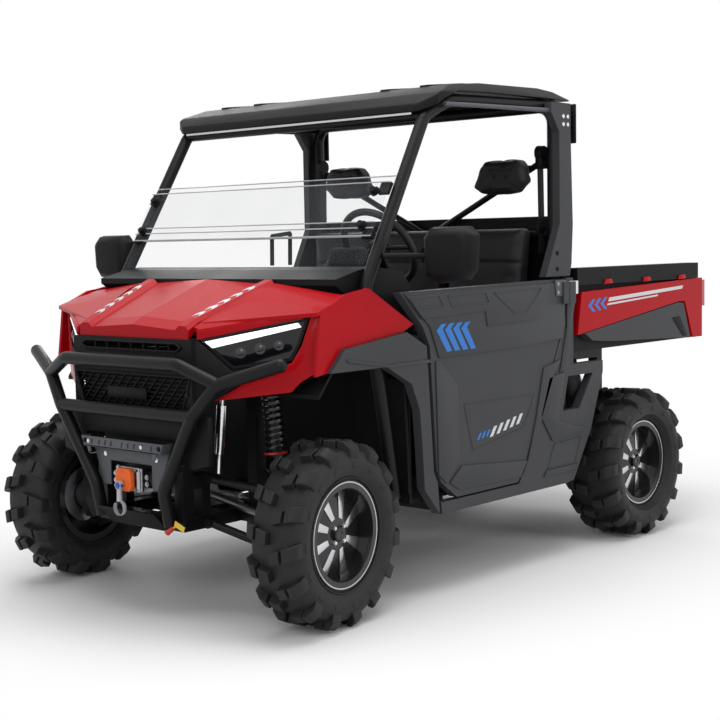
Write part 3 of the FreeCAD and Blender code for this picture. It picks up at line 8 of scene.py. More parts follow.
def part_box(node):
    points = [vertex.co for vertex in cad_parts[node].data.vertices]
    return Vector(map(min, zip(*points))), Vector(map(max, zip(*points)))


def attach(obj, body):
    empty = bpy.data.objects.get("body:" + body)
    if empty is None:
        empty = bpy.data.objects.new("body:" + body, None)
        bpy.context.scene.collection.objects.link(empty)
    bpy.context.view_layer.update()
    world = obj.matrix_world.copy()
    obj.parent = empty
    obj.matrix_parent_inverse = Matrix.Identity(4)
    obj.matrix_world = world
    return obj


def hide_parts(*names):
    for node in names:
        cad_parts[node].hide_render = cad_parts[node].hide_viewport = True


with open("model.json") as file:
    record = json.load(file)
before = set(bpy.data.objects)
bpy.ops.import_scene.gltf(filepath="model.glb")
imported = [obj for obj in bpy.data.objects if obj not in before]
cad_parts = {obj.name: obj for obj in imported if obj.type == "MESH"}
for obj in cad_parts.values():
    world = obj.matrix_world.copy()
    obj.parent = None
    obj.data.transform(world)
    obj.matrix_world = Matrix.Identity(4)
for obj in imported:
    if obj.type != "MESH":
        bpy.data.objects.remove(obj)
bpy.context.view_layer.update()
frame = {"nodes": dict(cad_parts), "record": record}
nodes = frame["nodes"]
frontAxle = -1.175          # metres; y of the front axle, from which places along the vehicle are given
wheelbase = 2.076

# Worked out from pairs of matching points on both sides of the vehicle.
camera = {"azimuth": 41.68, "elevation": 4.79, "roll": -1.04, "lens": 70.04, "sensor": 36, "clip": 200,
          "place": (4.1536, -4.8265, 1.3910)}


def makeCamera():
    data = bpy.data.cameras.new("viewCamera")
    data.lens = camera["lens"]
    data.sensor_width = camera["sensor"]
    data.clip_end = camera["clip"]
    a, e, r = (math.radians(camera[k]) for k in ("azimuth", "elevation", "roll"))
    back = Vector((math.sin(a) * math.cos(e), -math.cos(a) * math.cos(e), math.sin(e)))
    right = Vector((math.cos(a), math.sin(a), 0))
    up = back.cross(right)
    right, up = right * math.cos(r) + up * math.sin(r), up * math.cos(r) - right * math.sin(r)
    turn = Matrix((right, up, back)).transposed().to_4x4()
    obj = bpy.data.objects.new("viewCamera", data)
    obj.matrix_world = Matrix.Translation(camera["place"]) @ turn
    bpy.context.scene.collection.objects.link(obj)
    bpy.context.scene.camera = obj
    print("camera set")


# A shader socket that can be added, multiplied, and passed through a sine or a limit.
class Wire:
    def __init__(self, tree, out):
        self.tree, self.out = tree, out

    def maths(self, operation, *values):
        node = self.tree.nodes.new("ShaderNodeMath")
        node.operation = operation
        for plug, value in zip(node.inputs, values):
            if isinstance(value, Wire):
                self.tree.links.new(value.out, plug)
            else:
                plug.default_value = value
        return Wire(self.tree, node.outputs[0])

    def __add__(self, other): return self.maths("ADD", self, other)
    def __radd__(self, other): return self.maths("ADD", other, self)
    def __mul__(self, other): return self.maths("MULTIPLY", self, other)
    def __pow__(self, other): return self.maths("POWER", self, other)
    def sine(self): return self.maths("SINE", self)
    def least(self, other): return self.maths("MINIMUM", self, other)
    def most(self, other): return self.maths("MAXIMUM", self, other)


class Finish:
    def __init__(self, name, colour, rough, metal=0.0, coat=0.0, gloss=0.5):
        self.material = bpy.data.materials.new(name)
        self.material.use_nodes = True
        self.tree = self.material.node_tree
        self.shader = self.tree.nodes["Principled BSDF"]
        self.set(**{"Base Color": (*colour, 1), "Roughness": rough, "Metallic": metal,
                    "Coat Weight": coat, "Specular IOR Level": gloss})
        self.place = self.node("ShaderNodeTexCoord", {}, {}, "Object")

    def set(self, **values):
        for name, value in values.items():
            plug = self.shader.inputs[name]
            if isinstance(value, Wire):
                self.tree.links.new(value.out, plug)
            else:
                plug.default_value = value

    def node(self, kind, settings, plugs, output=0):
        made = self.tree.nodes.new(kind)
        for name, value in settings.items():
            setattr(made, name, value)
        for name, value in plugs.items():
            if isinstance(value, Wire):
                self.tree.links.new(value.out, made.inputs[name])
            else:
                made.inputs[name].default_value = value
        return Wire(self.tree, made.outputs[output])

    def noise(self, scale, detail=2, rough=0.5):
        return self.node("ShaderNodeTexNoise", {}, {
            "Vector": self.place, "Scale": scale, "Detail": detail, "Roughness": rough}, "Fac")

    def cells(self, scale, feature="F1"):
        return self.node("ShaderNodeTexVoronoi", {"feature": feature}, {
            "Vector": self.place, "Scale": scale}, "Distance")

    def axes(self):
        split = self.tree.nodes.new("ShaderNodeSeparateXYZ")
        self.tree.links.new(self.place.out, split.inputs[0])
        return [Wire(self.tree, out) for out in split.outputs]

    def mix(self, share, low, high):
        node = self.tree.nodes.new("ShaderNodeMix")
        node.data_type = "RGBA"
        for name, value in (("Factor", share), ("A", low), ("B", high)):
            plug = [p for p in node.inputs if p.name == name and (name == "Factor" or p.type == "RGBA")][0]
            if isinstance(value, Wire):
                self.tree.links.new(value.out, plug)
            else:
                plug.default_value = (*value[:3], 1)
        return Wire(self.tree, [o for o in node.outputs if o.type == "RGBA"][0])

    def bump(self, height, depth, strength):
        return self.node("ShaderNodeBump", {}, {"Height": height, "Distance": depth, "Strength": strength})


def tint(colour, share):
    return tuple(min(1, c * share) for c in colour)


# How each family of finish varies: broad clouds of colour and roughness, and a fine bump in metres.
families = {
    "paint": {"cloud": 2.2, "detail": 3, "fine": 160, "dark": 0.92, "light": 1.06, "under": 0.03,
              "swing": 0.06, "depth": 0.0002, "bump": 0.25, "gloss": 0.4, "coat": 0.9},
    "powder": {"cloud": 5, "detail": 3, "fine": 650, "dark": 0.8, "light": 1.3, "under": 0.05,
               "swing": 0.1, "depth": 0.0004, "bump": 0.35, "gloss": 0.25},
    "metal": {"cloud": 14, "detail": 4, "fine": 380, "dark": 0.85, "light": 1.08, "under": 0.05,
              "swing": 0.1, "depth": 0.0002, "bump": 0.2, "gloss": 0.5, "metal": 1.0},
    "rubber": {"cloud": 9, "detail": 5, "cloudRough": 0.6, "fine": 520, "fineDetail": 3, "dark": 0.75,
               "light": 1.35, "under": 0.07, "swing": 0.12, "depth": 0.0004, "bump": 0.3, "gloss": 0.25},
}
coatRough = 0.03


def surface(name, family, colour, rough, **changes):
    k = {"metal": 0.0, "coat": 0.0, "cloudRough": 0.5, "fineDetail": 2, **families[family], **changes}
    f = Finish(name, colour, rough, k["metal"], k["coat"], k["gloss"])
    f.shader.inputs["Coat Roughness"].default_value = coatRough
    cloud = f.noise(k["cloud"], k["detail"], k["cloudRough"])
    fine = f.noise(k["fine"], k["fineDetail"])
    f.set(**{"Base Color": f.mix(cloud, tint(colour, k["dark"]), tint(colour, k["light"])),
             "Roughness": rough - k["under"] + cloud * k["swing"],
             "Normal": f.bump(fine, k["depth"], k["bump"])})
    return f.material


moulding = {"cloud": 3.5, "detail": 4, "fineShare": 0.6, "dark": 0.8, "under": 0.08, "swing": 0.14,
            "fineSwing": 0.04, "bump": 0.6}


def moulded(name, colour, rough, grain, depth, light, gloss):       # grained plastic
    k = moulding
    f = Finish(name, colour, rough, gloss=gloss)
    cells = f.cells(grain)
    cloud = f.noise(k["cloud"], k["detail"])
    fine = f.noise(grain * k["fineShare"], 2)
    f.set(**{"Base Color": f.mix(cloud * 0.7 + fine * 0.3, tint(colour, k["dark"]), tint(colour, light)),
             "Roughness": rough - k["under"] + cloud * k["swing"] + fine * k["fineSwing"],
             "Normal": f.bump(cells * 0.7 + fine * 0.5, depth, k["bump"])})
    return f.material


vinyl = {"gloss": 0.22, "rough": 0.42, "swing": 0.16, "creases": 420, "cloud": 7, "detail": 4, "dark": 0.8,
         "light": 1.3, "least": 0.3, "depth": 0.0008, "bump": 0.5}


def upholstery(name, colour):
    k = vinyl
    f = Finish(name, colour, k["rough"], gloss=k["gloss"])
    creases = f.cells(k["creases"], "DISTANCE_TO_EDGE")
    soft = f.noise(k["cloud"], k["detail"])
    f.set(**{"Base Color": f.mix(soft, tint(colour, k["dark"]), tint(colour, k["light"])),
             "Roughness": k["rough"] + soft * k["swing"],
             "Normal": f.bump(creases.least(k["least"]), k["depth"], k["bump"])})
    return f.material


sheet = {"rough": 0.05, "swing": 0.05, "gloss": 0.3, "haze": 6, "detail": 3, "alphaSwing": 0.02}


def clearSheet(name, colour, alpha):
    k = sheet
    f = Finish(name, colour, k["rough"], gloss=k["gloss"])
    haze = f.noise(k["haze"], k["detail"])
    f.set(**{"Alpha": alpha - k["alphaSwing"] / 2 + haze * k["alphaSwing"],
             "Roughness": k["rough"] + haze * k["swing"]})
    f.material.surface_render_method = "BLENDED"
    return f.material


core = {"rough": 0.55, "gloss": 0.2, "fins": 900, "rows": 620, "dark": 0.5, "light": 1.5, "depth": 0.001,
        "bump": 0.6}


def finned(name, colour):           # the radiator's fins and rows
    k = core
    f = Finish(name, colour, k["rough"], gloss=k["gloss"])
    x, _, z = f.axes()
    fins = (x * k["fins"]).sine()
    rows = (z * k["rows"]).sine()
    f.set(**{"Base Color": f.mix((fins * rows) * 0.5 + 0.5, tint(colour, k["dark"]), tint(colour, k["light"])),
             "Normal": f.bump(fins + rows * 0.5, k["depth"], k["bump"])})
    return f.material


glow = {"rough": 0.3, "noise": 240, "dark": 0.9, "strength": 1.0}


def glowing(name, colour):
    f = Finish(name, colour, glow["rough"])
    cells = f.noise(glow["noise"], 2)
    f.set(**{"Emission Color": f.mix(cells, tint(colour, glow["dark"]), colour),
             "Emission Strength": glow["strength"]})
    return f.material


# The first group is named as the part's material slots are; the second is for this script's own pieces.
finishes = {
    "tyre": surface("tyreRubber", "rubber", (0.014, 0.014, 0.015), 0.55),
    "black_wheel": surface("wheelBlack", "paint", (0.008, 0.008, 0.009), 0.3, coat=0.4, gloss=0.3),
    "cast": surface("castIron", "metal", (0.12, 0.12, 0.125), 0.55),
    "black_steel": surface("blackPowderCoat", "powder", (0.006, 0.006, 0.007), 0.4, gloss=0.18),
    "steel": surface("dullSteel", "metal", (0.42, 0.42, 0.44), 0.38),
    "bright": surface("brightPlate", "metal", (0.75, 0.75, 0.77), 0.16),
    "grey_steel": surface("steelGrey", "powder", (0.075, 0.08, 0.09), 0.4),
    "black_plastic": moulded("blackPlastic", (0.006, 0.006, 0.007), 0.5, 700, 0.0004, 1.25, 0.12),
    "grey_plastic": moulded("greyPlastic", (0.042, 0.043, 0.047), 0.46, 620, 0.0005, 1.3, 0.2),
    "red_panel": surface("glossRed", "paint", (0.40, 0.002, 0.007), 0.34, coat=0.10, gloss=0.08),
    "lamp_lens": surface("lampGloss", "paint", (0.005, 0.005, 0.007), 0.12, coat=0.35, gloss=0.25),
    "rear_lens": surface("rearRedLens", "paint", (0.4, 0.01, 0.012), 0.15, coat=0.8),
    "orange_rubber": surface("orangeRubber", "rubber", (0.80, 0.13, 0.02), 0.5),
    "black_rubber": surface("blackRubber", "rubber", (0.012, 0.012, 0.013), 0.55),
    "seat_vinyl": upholstery("seatVinyl", (0.016, 0.016, 0.018)),
    "clear": clearSheet("clearScreen", (0.16, 0.18, 0.20), 0.045),
    "engine": surface("engineCase", "metal", (0.16, 0.16, 0.17), 0.5),
    "alloy": surface("bareAlloy", "metal", (0.5, 0.51, 0.53), 0.35),

    "core": finned("radiatorCore", (0.02, 0.02, 0.022)),
    "led": glowing("lampGlow", (1.0, 1.0, 1.0)),
    "machined": surface("machinedFace", "metal", (0.62, 0.62, 0.64), 0.28),
    "pale": surface("paleStripe", "paint", (0.62, 0.63, 0.64), 0.4, coat=0.2),
    "darkStripe": surface("darkStripe", "paint", (0.014, 0.014, 0.016), 0.4, coat=0.2),
    "blueStripe": surface("blueStripe", "paint", (0.004, 0.15, 0.52), 0.4, coat=0.2),
    "redCollar": surface("redCollar", "paint", (0.45, 0.01, 0.012), 0.35, coat=0.4),
    "brass": surface("brassLink", "metal", (0.55, 0.38, 0.12), 0.35),
    "mirrorGlass": surface("mirrorGlass", "metal", (0.85, 0.86, 0.88), 0.04, under=0.01, swing=0.02),
    "yellow": surface("yellowTag", "paint", (0.75, 0.50, 0.03), 0.45, coat=0.2),
    "blueSteel": surface("blueSteel", "paint", (0.02, 0.09, 0.35), 0.35, coat=0.4),
    "smoked": surface("smokedLens", "paint", (0.028, 0.029, 0.033), 0.18, coat=0.4, gloss=0.3),
    "paleSteel": surface("paleSteel", "paint", (0.46, 0.47, 0.49), 0.3, coat=0.3),
    "lip": surface("roofLip", "metal", (0.55, 0.56, 0.58), 0.3),
    "strap": upholstery("beltStrap", (0.012, 0.012, 0.013)),
    "dial": surface("dialFace", "paint", (0.02, 0.022, 0.026), 0.25, coat=0.5),
}
ownFinish = {"radiator": "core"}        # nodes that don't wear their slot's finish


def smooth(obj, angle):
    for face in obj.data.polygons:
        face.use_smooth = True
    obj.data.set_sharp_from_angle(angle=math.radians(angle))


def dressNodes():
    slots = {row["node"]: row["material_slot"] for row in frame["record"]["subparts"]}
    for name, obj in nodes.items():
        obj.data.materials.clear()
        obj.data.materials.append(finishes[ownFinish.get(name, slots[name])])
        smooth(obj, 30)
    print("CAD nodes dressed:", len(nodes))


# Mesh tools. Each adds a shape to a bmesh, in millimetres with y from the front axle.
def spot(x, y, z):
    return Vector((x / 1000, y / 1000 + frontAxle, z / 1000))


def roundEdges(bm, verts, width, segments=2):
    if width:
        edges = list({e for v in verts for e in v.link_edges})
        bmesh.ops.bevel(bm, geom=edges, offset=width / 1000, segments=segments, profile=0.5,
                        affect="EDGES", material=-1, clamp_overlap=True)


def addBlock(bm, low, high, width=0, turn=None, segments=2):
    low, high = spot(*low), spot(*high)
    grow = Matrix.Diagonal((*(high - low), 1))
    place = Matrix.Translation((low + high) / 2)
    made = bmesh.ops.create_cube(bm, size=1, matrix=place @ (turn or Matrix()) @ grow)
    roundEdges(bm, made["verts"], width, segments)


# A straight bar; raw ends are given in metres as they stand.
def addBar(bm, start, end, radius, sides=16, tip=None, raw=False):
    a, b = (Vector(start), Vector(end)) if raw else (spot(*start), spot(*end))
    run = b - a
    turn = run.to_track_quat("Z", "Y").to_matrix().to_4x4()
    bmesh.ops.create_cone(bm, cap_ends=True, segments=sides, radius1=radius / 1000,
                          radius2=(radius if tip is None else tip) / 1000, depth=run.length,
                          matrix=Matrix.Translation((a + b) / 2) @ turn)


def extrudeFace(bm, verts, push):
    face = bm.faces.new(verts)
    made = bmesh.ops.extrude_face_region(bm, geom=[face])
    moved = [v for v in made["geom"] if isinstance(v, bmesh.types.BMVert)]
    bmesh.ops.translate(bm, verts=moved, vec=Vector(push) / 1000)
    return moved


# A flat outline of places, pushed along a vector.
def addPlate(bm, outline, push, width=0, segments=2):
    verts = [bm.verts.new(spot(*point)) for point in outline]
    roundEdges(bm, verts + extrudeFace(bm, verts, push), width, segments)


# A closed profile of (x, radius), spun about the X axis.
def addRing(bm, profile, steps, turn=None):
    verts = [bm.verts.new(Vector((x / 1000, 0, r / 1000))) for x, r in profile]
    edges = [bm.edges.new((verts[k - 1], verts[k])) for k in range(len(verts))]
    before = set(bm.verts) - set(verts)
    bmesh.ops.spin(bm, geom=verts + edges, cent=(0, 0, 0), axis=(1, 0, 0), dvec=(0, 0, 0),
                   angle=math.tau, steps=steps, use_merge=True)
    fresh = [v for v in bm.verts if v not in before]
    bmesh.ops.remove_doubles(bm, verts=fresh, dist=1e-6)
    if turn:
        bmesh.ops.transform(bm, verts=[v for v in bm.verts if v not in before], matrix=turn)


# A round wire of some radius, bent round the X axis; it climbs along X where it is a coil.
def addWire(bm, wire, radius, sweep, steps, sides, turn, start=0.0, climb=0.0):
    piece = bmesh.new()
    bmesh.ops.create_circle(piece, cap_ends=False, segments=sides, radius=wire / 1000,
                            matrix=Matrix.Translation((start, 0, radius / 1000)))
    bmesh.ops.spin(piece, geom=piece.verts[:] + piece.edges[:], cent=(0, 0, 0), axis=(1, 0, 0),
                   dvec=(climb / steps, 0, 0), angle=sweep, steps=steps, use_merge=(sweep == math.tau))
    if sweep != math.tau:
        bmesh.ops.holes_fill(piece, edges=piece.edges[:], sides=sides + 2)
    bmesh.ops.transform(piece, verts=piece.verts[:], matrix=turn)
    joinInto(bm, piece)


def joinInto(bm, piece):
    data = bpy.data.meshes.new("passing")
    piece.to_mesh(data)
    piece.free()
    bm.from_mesh(data)
    bpy.data.meshes.remove(data)


washer = {"share": 1.5, "under": 0.001, "over": 0.0015, "sides": 20}


# Hexagon heads on washers, at places that face one way.
def addBolts(bm, places, way, radius=8, tall=6):
    way = Vector(way).normalized()
    for place in places:
        foot = spot(*place)
        addBar(bm, foot - way * washer["under"], foot + way * washer["over"], radius * washer["share"],
               washer["sides"], raw=True)
        addBar(bm, foot, foot + way * (tall / 1000), radius, 6, raw=True)


def atX(x, outline):                # an outline of (y, z) on a side
    return [(x, y, z) for y, z in outline]


def atY(y, outline):                # an outline of (x, z) across the vehicle
    return [(x, y, z) for x, z in outline]


def rimRound(bm, corners, radius, sides):       # bars from corner to corner
    for k in range(len(corners)):
        addBar(bm, corners[k], corners[(k + 1) % len(corners)], radius, sides)


# A closed skin over outlines of the same number of places.
def addLoft(bm, outlines):
    rings = [[bm.verts.new(spot(*place)) for place in outline] for outline in outlines]
    for first, second in zip(rings, rings[1:]):
        for k in range(len(first)):
            bm.faces.new((first[k - 1], first[k], second[k], second[k - 1]))
    bm.faces.new(rings[0])
    bm.faces.new(rings[-1])


def roundSharp(bm, angle, width, segments):     # an angle in radians, a width in metres
    sharp = [e for e in bm.edges if e.is_manifold and e.calc_face_angle(0) > angle]
    bmesh.ops.bevel(bm, geom=sharp, offset=width, segments=segments, profile=0.5, affect="EDGES",
                    material=-1, clamp_overlap=True)


# Copies everything in a bmesh to the vehicle's right.
def mirrorAll(bm):
    made = bmesh.ops.duplicate(bm, geom=bm.verts[:] + bm.edges[:] + bm.faces[:])
    verts = [v for v in made["geom"] if isinstance(v, bmesh.types.BMVert)]
    bmesh.ops.scale(bm, vec=(-1, 1, 1), verts=verts)
    faces = [g for g in made["geom"] if isinstance(g, bmesh.types.BMFace)]
    bmesh.ops.reverse_faces(bm, faces=faces)


# Turns a bmesh into a piece that rides a body; its finish is its slot's unless another is named.
def put(name, bm, slot, finish=None, body="chassis", angle=35, turn=None, both=False):
    if both:
        mirrorAll(bm)
    bmesh.ops.recalc_face_normals(bm, faces=bm.faces[:])
    if turn:
        bmesh.ops.transform(bm, verts=bm.verts[:], matrix=turn)
    data = bpy.data.meshes.new(name)
    bm.to_mesh(data)
    bm.free()
    data.materials.append(finishes[finish or slot])
    obj = bpy.data.objects.new(name, data)
    bpy.context.scene.collection.objects.link(obj)
    smooth(obj, angle)
    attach(obj, body)
    return obj


# Builds a piece from its dictionary: rows of plates, blocks, bars and bolts, then what put is told.
def build(name, piece):
    bm = bmesh.new()
    rest = dict(piece)
    for key, add in (("plates", addPlate), ("blocks", addBlock), ("bars", addBar), ("bolts", addBolts)):
        for row in rest.pop(key, ()):
            add(bm, *row)
    return put(name, bm, **rest)


# Wheels. Each is made about the X axis with its outside at +X, then put on its hub.
hub = {"kingpin": 0.640, "rear": 0.644, "height": 0.343, "steer": 6}        # metres and degrees
scrub = 76                  # from the kingpin out to the middle of the wheel
wheels = {
    "fl": {"turn": hub["steer"], "place": (hub["kingpin"], 0), "half": "frontHalf", "knuckle": "knuckle_left"},
    "fr": {"turn": hub["steer"] + 180, "place": (-hub["kingpin"], 0), "half": "frontHalf",
           "knuckle": "knuckle_right"},
    "rl": {"turn": 0, "place": (hub["rear"], wheelbase), "half": "rearHalf", "knuckle": "chassis"},
    "rr": {"turn": 180, "place": (-hub["rear"], wheelbase), "half": "rearHalf", "knuckle": "chassis"},
}


def hubTurn(mark):
    x, y = wheels[mark]["place"]
    turn = Matrix.Rotation(math.radians(wheels[mark]["turn"]), 4, "Z")
    return Matrix.Translation((x, y + frontAxle, hub["height"])) @ turn


def polarCopies(bm, verts, count):
    geom = list(verts) + list({e for v in verts for e in v.link_edges}) + list(
        {f for v in verts for f in v.link_faces})
    bmesh.ops.spin(bm, geom=geom, cent=(0, 0, 0), axis=(1, 0, 0), dvec=(0, 0, 0),
                   angle=math.tau * (count - 1) / count, steps=count - 1, use_duplicate=True)


# An outline of (x, radius) given a width round the wheel; it leans by its distance from the middle.
def addLug(bm, profile, half, width, lean, up):
    start = set(bm.verts)
    verts = [bm.verts.new(Vector((x / 1000, -half / 1000, r / 1000 * up))) for x, r in profile]
    roundEdges(bm, verts + extrudeFace(bm, verts, (0, half * 2, 0)), width, 1)
    fresh = [v for v in bm.verts if v not in start]
    for v in fresh:
        v.co.y += lean * (v.co.x - scrub / 1000) * up
    return fresh


tyre = {"radius": 343, "crown": 316, "bead": 178.6, "lip": 203, "frontHalf": 114.5, "rearHalf": 135,
        "steps": 60, "lugs": 15, "lugHalf": 26, "lean": 0.28, "shoulder": 0.72,
        "ridges": ((207, 95), (222, 101))}     # ridges on the side wall: radius and reach


def makeTyre(mark):
    half = tyre[wheels[mark]["half"]]
    r, crown, wide = tyre["radius"], tyre["crown"], tyre["lugHalf"]
    bm = bmesh.new()

    def shifted(outline, side=1):
        return [(scrub + side * x, y) for x, y in outline]

    wall = [(81, tyre["bead"]), (83, tyre["lip"]), (half * 0.9, 226), (half - 3, 252), (half - 4, 276),
            (half - 12, 296), (half * 0.80, 308), (half * 0.5, crown - 2)]
    addRing(bm, shifted(wall + [(0, crown)]) + shifted(reversed(wall), -1), tyre["steps"])
    shoulder = half * tyre["shoulder"]
    lugs = (
        ([(6, crown - 8), (8, r), (shoulder * 0.62, r), (shoulder * 0.64, crown - 8)], wide * 0.86, 2.5),
        ([(shoulder * 0.72, crown - 12), (shoulder * 0.76, r), (shoulder * 1.04, r - 1.5), (half - 0.5, 314),
          (half - 0.5, 282), (half - 12, 272)], wide, 3),
        ([(half - 12, 268), (half - 0.5, 264), (half - 2, 244), (half - 14, 234)], wide * 0.62, 2),
    )
    for side in (1, -1):
        for outline, lugHalf, soft in lugs:
            fresh = addLug(bm, shifted(outline, side), lugHalf, soft, tyre["lean"] * side, side)
            polarCopies(bm, fresh, tyre["lugs"])
    for side in (1, -1):
        for base, top in tyre["ridges"]:
            ridge = ((top - 10, base - 1), (top - 1, base), (top, base + 4), (top - 10, base + 6))
            addRing(bm, shifted(ridge, side), tyre["steps"])
    obj = put("treadTyre_" + mark, bm, "tyre", body="wheel_" + mark, angle=32, turn=hubTurn(mark))
    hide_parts("tyre_" + mark)


rim = {"face": 98, "fall": 26, "inner": 52, "outer": 174,       # the spokes' cone, from hub to barrel
       "spokes": 8, "lift": 0.3, "thick": 4, "round": 1.5,
       "corners": ((58, 11), (167, 23), (167, -23), (58, -11)),     # one spoke's face: radius and width
       "edge": ((164.6, 190), (166.6, 190), (167, 194), (164.6, 195)),
       "barrel": ((98, 168), (98, 173), (110, 176), (128, 170), (150, 169.6), (150, 168.5), (126, 168)),
       "cap": ((-1, 0.4), (-1, 27), (12, 25), (17, 20), (17, 14), (14, 12), (14, 0.4)), "steps": 72}
# Each stage of a nut: from, to, radius, sides, radius of its tip.
nut = {"count": 4, "place": 38, "stages": ((0, 14, 10, 6, 9), (13, 18, 8, 16, 6))}
disc = {"profile": ((44.6, 66), (52, 66), (52, 117), (44.6, 117)), "steps": 64, "holes": 12, "place": 92,
        "from": 44.2, "to": 52.4, "hole": 5}
caliper = {"low": (30, 94, -34), "high": (66, 134, 34), "round": 7, "pins": (-20, 20), "pinPlace": 112,
           "pinFrom": 24, "pinTo": 31, "pinRadius": 9}


def coneFace(radius):
    return rim["face"] + (rim["outer"] - radius) / (rim["outer"] - rim["inner"]) * rim["fall"]


def onWheel(x, radius, angle):
    return Vector((x, radius * math.sin(angle), radius * math.cos(angle))) / 1000


def makeRim(mark):
    wheel = {"body": "wheel_" + mark, "turn": hubTurn(mark)}
    bm = bmesh.new()
    verts = [bm.verts.new(Vector((coneFace(r) + rim["lift"], w, r)) / 1000) for r, w in rim["corners"]]
    roundEdges(bm, extrudeFace(bm, verts, (rim["thick"], 0, 0)), rim["round"])
    spoke = bm.verts[:]
    bmesh.ops.rotate(bm, verts=spoke, cent=(0, 0, 0), matrix=Matrix.Rotation(math.pi / rim["spokes"], 3, "X"))
    polarCopies(bm, spoke, rim["spokes"])
    addRing(bm, rim["edge"], rim["steps"])
    put("machinedSpokes_" + mark, bm, "black_wheel", "machined", **wheel)

    bm = bmesh.new()
    top = coneFace(rim["inner"])
    addRing(bm, [(top + x, r) for x, r in rim["cap"]], 40)
    addRing(bm, rim["barrel"], rim["steps"])
    put("hubCap_" + mark, bm, "black_wheel", **wheel)

    bm = bmesh.new()
    for k in range(nut["count"]):
        angle = math.tau * (k + 0.5) / nut["count"]
        for start, end, radius, sides, tip in nut["stages"]:
            addBar(bm, onWheel(top - 1 + start, nut["place"], angle), onWheel(top - 1 + end, nut["place"], angle),
                   radius, sides, tip, raw=True)
    put("wheelNuts_" + mark, bm, "bright", **wheel)

    bm = bmesh.new()
    addRing(bm, disc["profile"], disc["steps"])
    for k in range(disc["holes"]):
        angle = math.tau * k / disc["holes"]
        addBar(bm, onWheel(disc["from"], disc["place"], angle), onWheel(disc["to"], disc["place"], angle),
               disc["hole"], 10, raw=True)
    put("brakeDisc_" + mark, bm, "steel", **wheel)

    bm = bmesh.new()
    side = 1 if mark in ("fl", "rr") else -1            # callipers sit behind the front axle, ahead of the rear
    low, high = (Vector((x, y * side, z)) / 1000 for x, y, z in (caliper["low"], caliper["high"]))
    grow = Matrix.Diagonal((*(abs(a) for a in high - low), 1))
    cube = bmesh.ops.create_cube(bm, size=1, matrix=Matrix.Translation((low + high) / 2) @ grow)
    roundEdges(bm, cube["verts"], caliper["round"], 3)
    for z in caliper["pins"]:
        ends = (Vector((x, caliper["pinPlace"] * side, z)) / 1000 for x in (caliper["pinFrom"], caliper["pinTo"]))
        addBar(bm, *ends, caliper["pinRadius"], 14, raw=True)
    put("brakeCaliper_" + mark, bm, "cast", body=wheels[mark]["knuckle"], turn=hubTurn(mark))


# Shocks: a spring round a damper, from the arm to the tower. Profiles run along it from the spring's ends.
spring = {"arm": 430, "foot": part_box("shocks")[0][2] * 1000 + 26, "top": 402, "tower": 853, "lean": 50,
          "low": 0.24, "high": 0.90, "turns": 9, "turnSteps": 24, "coil": 5.5, "radius": 38,
          "collar": ((-10, 12), (-10, 40), (-7, 45), (0, 45), (0, 12)),
          "case": ((-16, 12), (-16, 27), (120, 27), (125, 22), (125, 12)),
          "cap": ((0, 12), (0, 44), (4, 46), (12, 44), (12, 12)), "rod": 11, "eye": 19, "eyeHalf": 24}


def makeShocks():
    coils, collars, dampers = bmesh.new(), bmesh.new(), bmesh.new()
    for axle in (0, wheelbase * 1000):
        y = axle + (spring["lean"] if axle == 0 else -spring["lean"])
        for side in (1, -1):
            foot = spot(spring["arm"] * side, y, spring["foot"])
            top = spot(spring["top"] * side, y, spring["tower"])
            run = top - foot
            turn = Matrix.Translation(foot) @ run.normalized().to_track_quat("X", "Z").to_matrix().to_4x4()
            low, high, long = (run.length * 1000 * share for share in (spring["low"], spring["high"], 1))
            addWire(coils, spring["coil"], spring["radius"], math.tau * spring["turns"],
                    spring["turns"] * spring["turnSteps"], 10, turn, low / 1000, (high - low) / 1000)
            for bm, start, profile in ((collars, low, spring["collar"]), (dampers, high, spring["cap"]),
                                       (dampers, low, spring["case"])):
                addRing(bm, [(start + x, r) for x, r in profile], 32, turn)
            addRing(dampers, [(4, 3), (4, spring["rod"]), (long - 2, spring["rod"]), (long - 2, 3)], 32, turn)
            half = Vector((0, spring["eyeHalf"] / 1000, 0))
            for end in (foot, top):
                addBar(dampers, end - half, end + half, spring["eye"], 24, raw=True)
    springs = put("coilSprings", coils, "black_steel", "black_wheel", angle=50)
    put("springCollars", collars, "black_steel", "redCollar")
    put("damperBodies", dampers, "black_steel")
    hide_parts("shocks")
    print("shocks made")


# Seats: each pad swells as cloth from a slightly smaller block, and is kept inside its own box.
seat = {"front": 880, "rear": 1430, "low": 700, "top": 800, "foot": 1330, "backTop": 1462, "backDepth": 98,
        "lean": 52, "spans": ((-640, -193), (-187, 187), (193, 640)),
        "seams": (1010, 1140, 1270), "seamDepth": 0.007, "round": 26,
        "backSeams": (960, 1120, 1290), "backSeamDepth": 0.008, "backRound": 24}
headrest = {"width": 295, "tall": 156, "face": 1392, "depth": 72, "near": 1386, "far": 1470, "round": 10,
            "places": (("headrestLeft", 1, 345, 1590), ("headrestRight", -1, 265, 1600)),
            "outline": ((0.19, 0.03), (0.79, 0.03), (0.97, 0.34), (0.92, 0.78), (0.84, 0.96), (0.24, 0.96),
                        (0.14, 0.76), (0.03, 0.22)),
            "panel": ((0.26, 0.28), (0.80, 0.28), (0.82, 0.60), (0.74, 0.72), (0.34, 0.72)),
            "panelFace": 1384, "bolts": (0.44, 0.66), "fill": 0.8, "voxel": 0.006, "cap": 0.006}
swell = {"pressure": 4, "frames": 20, "quality": 4, "start": 9, "seam": 0.007}


def applyAll(obj):
    graph = bpy.context.evaluated_depsgraph_get()
    graph.update()
    data = bpy.data.meshes.new_from_object(obj.evaluated_get(graph))
    obj.modifiers.clear()
    old = obj.data
    obj.data = data
    bpy.data.meshes.remove(old)


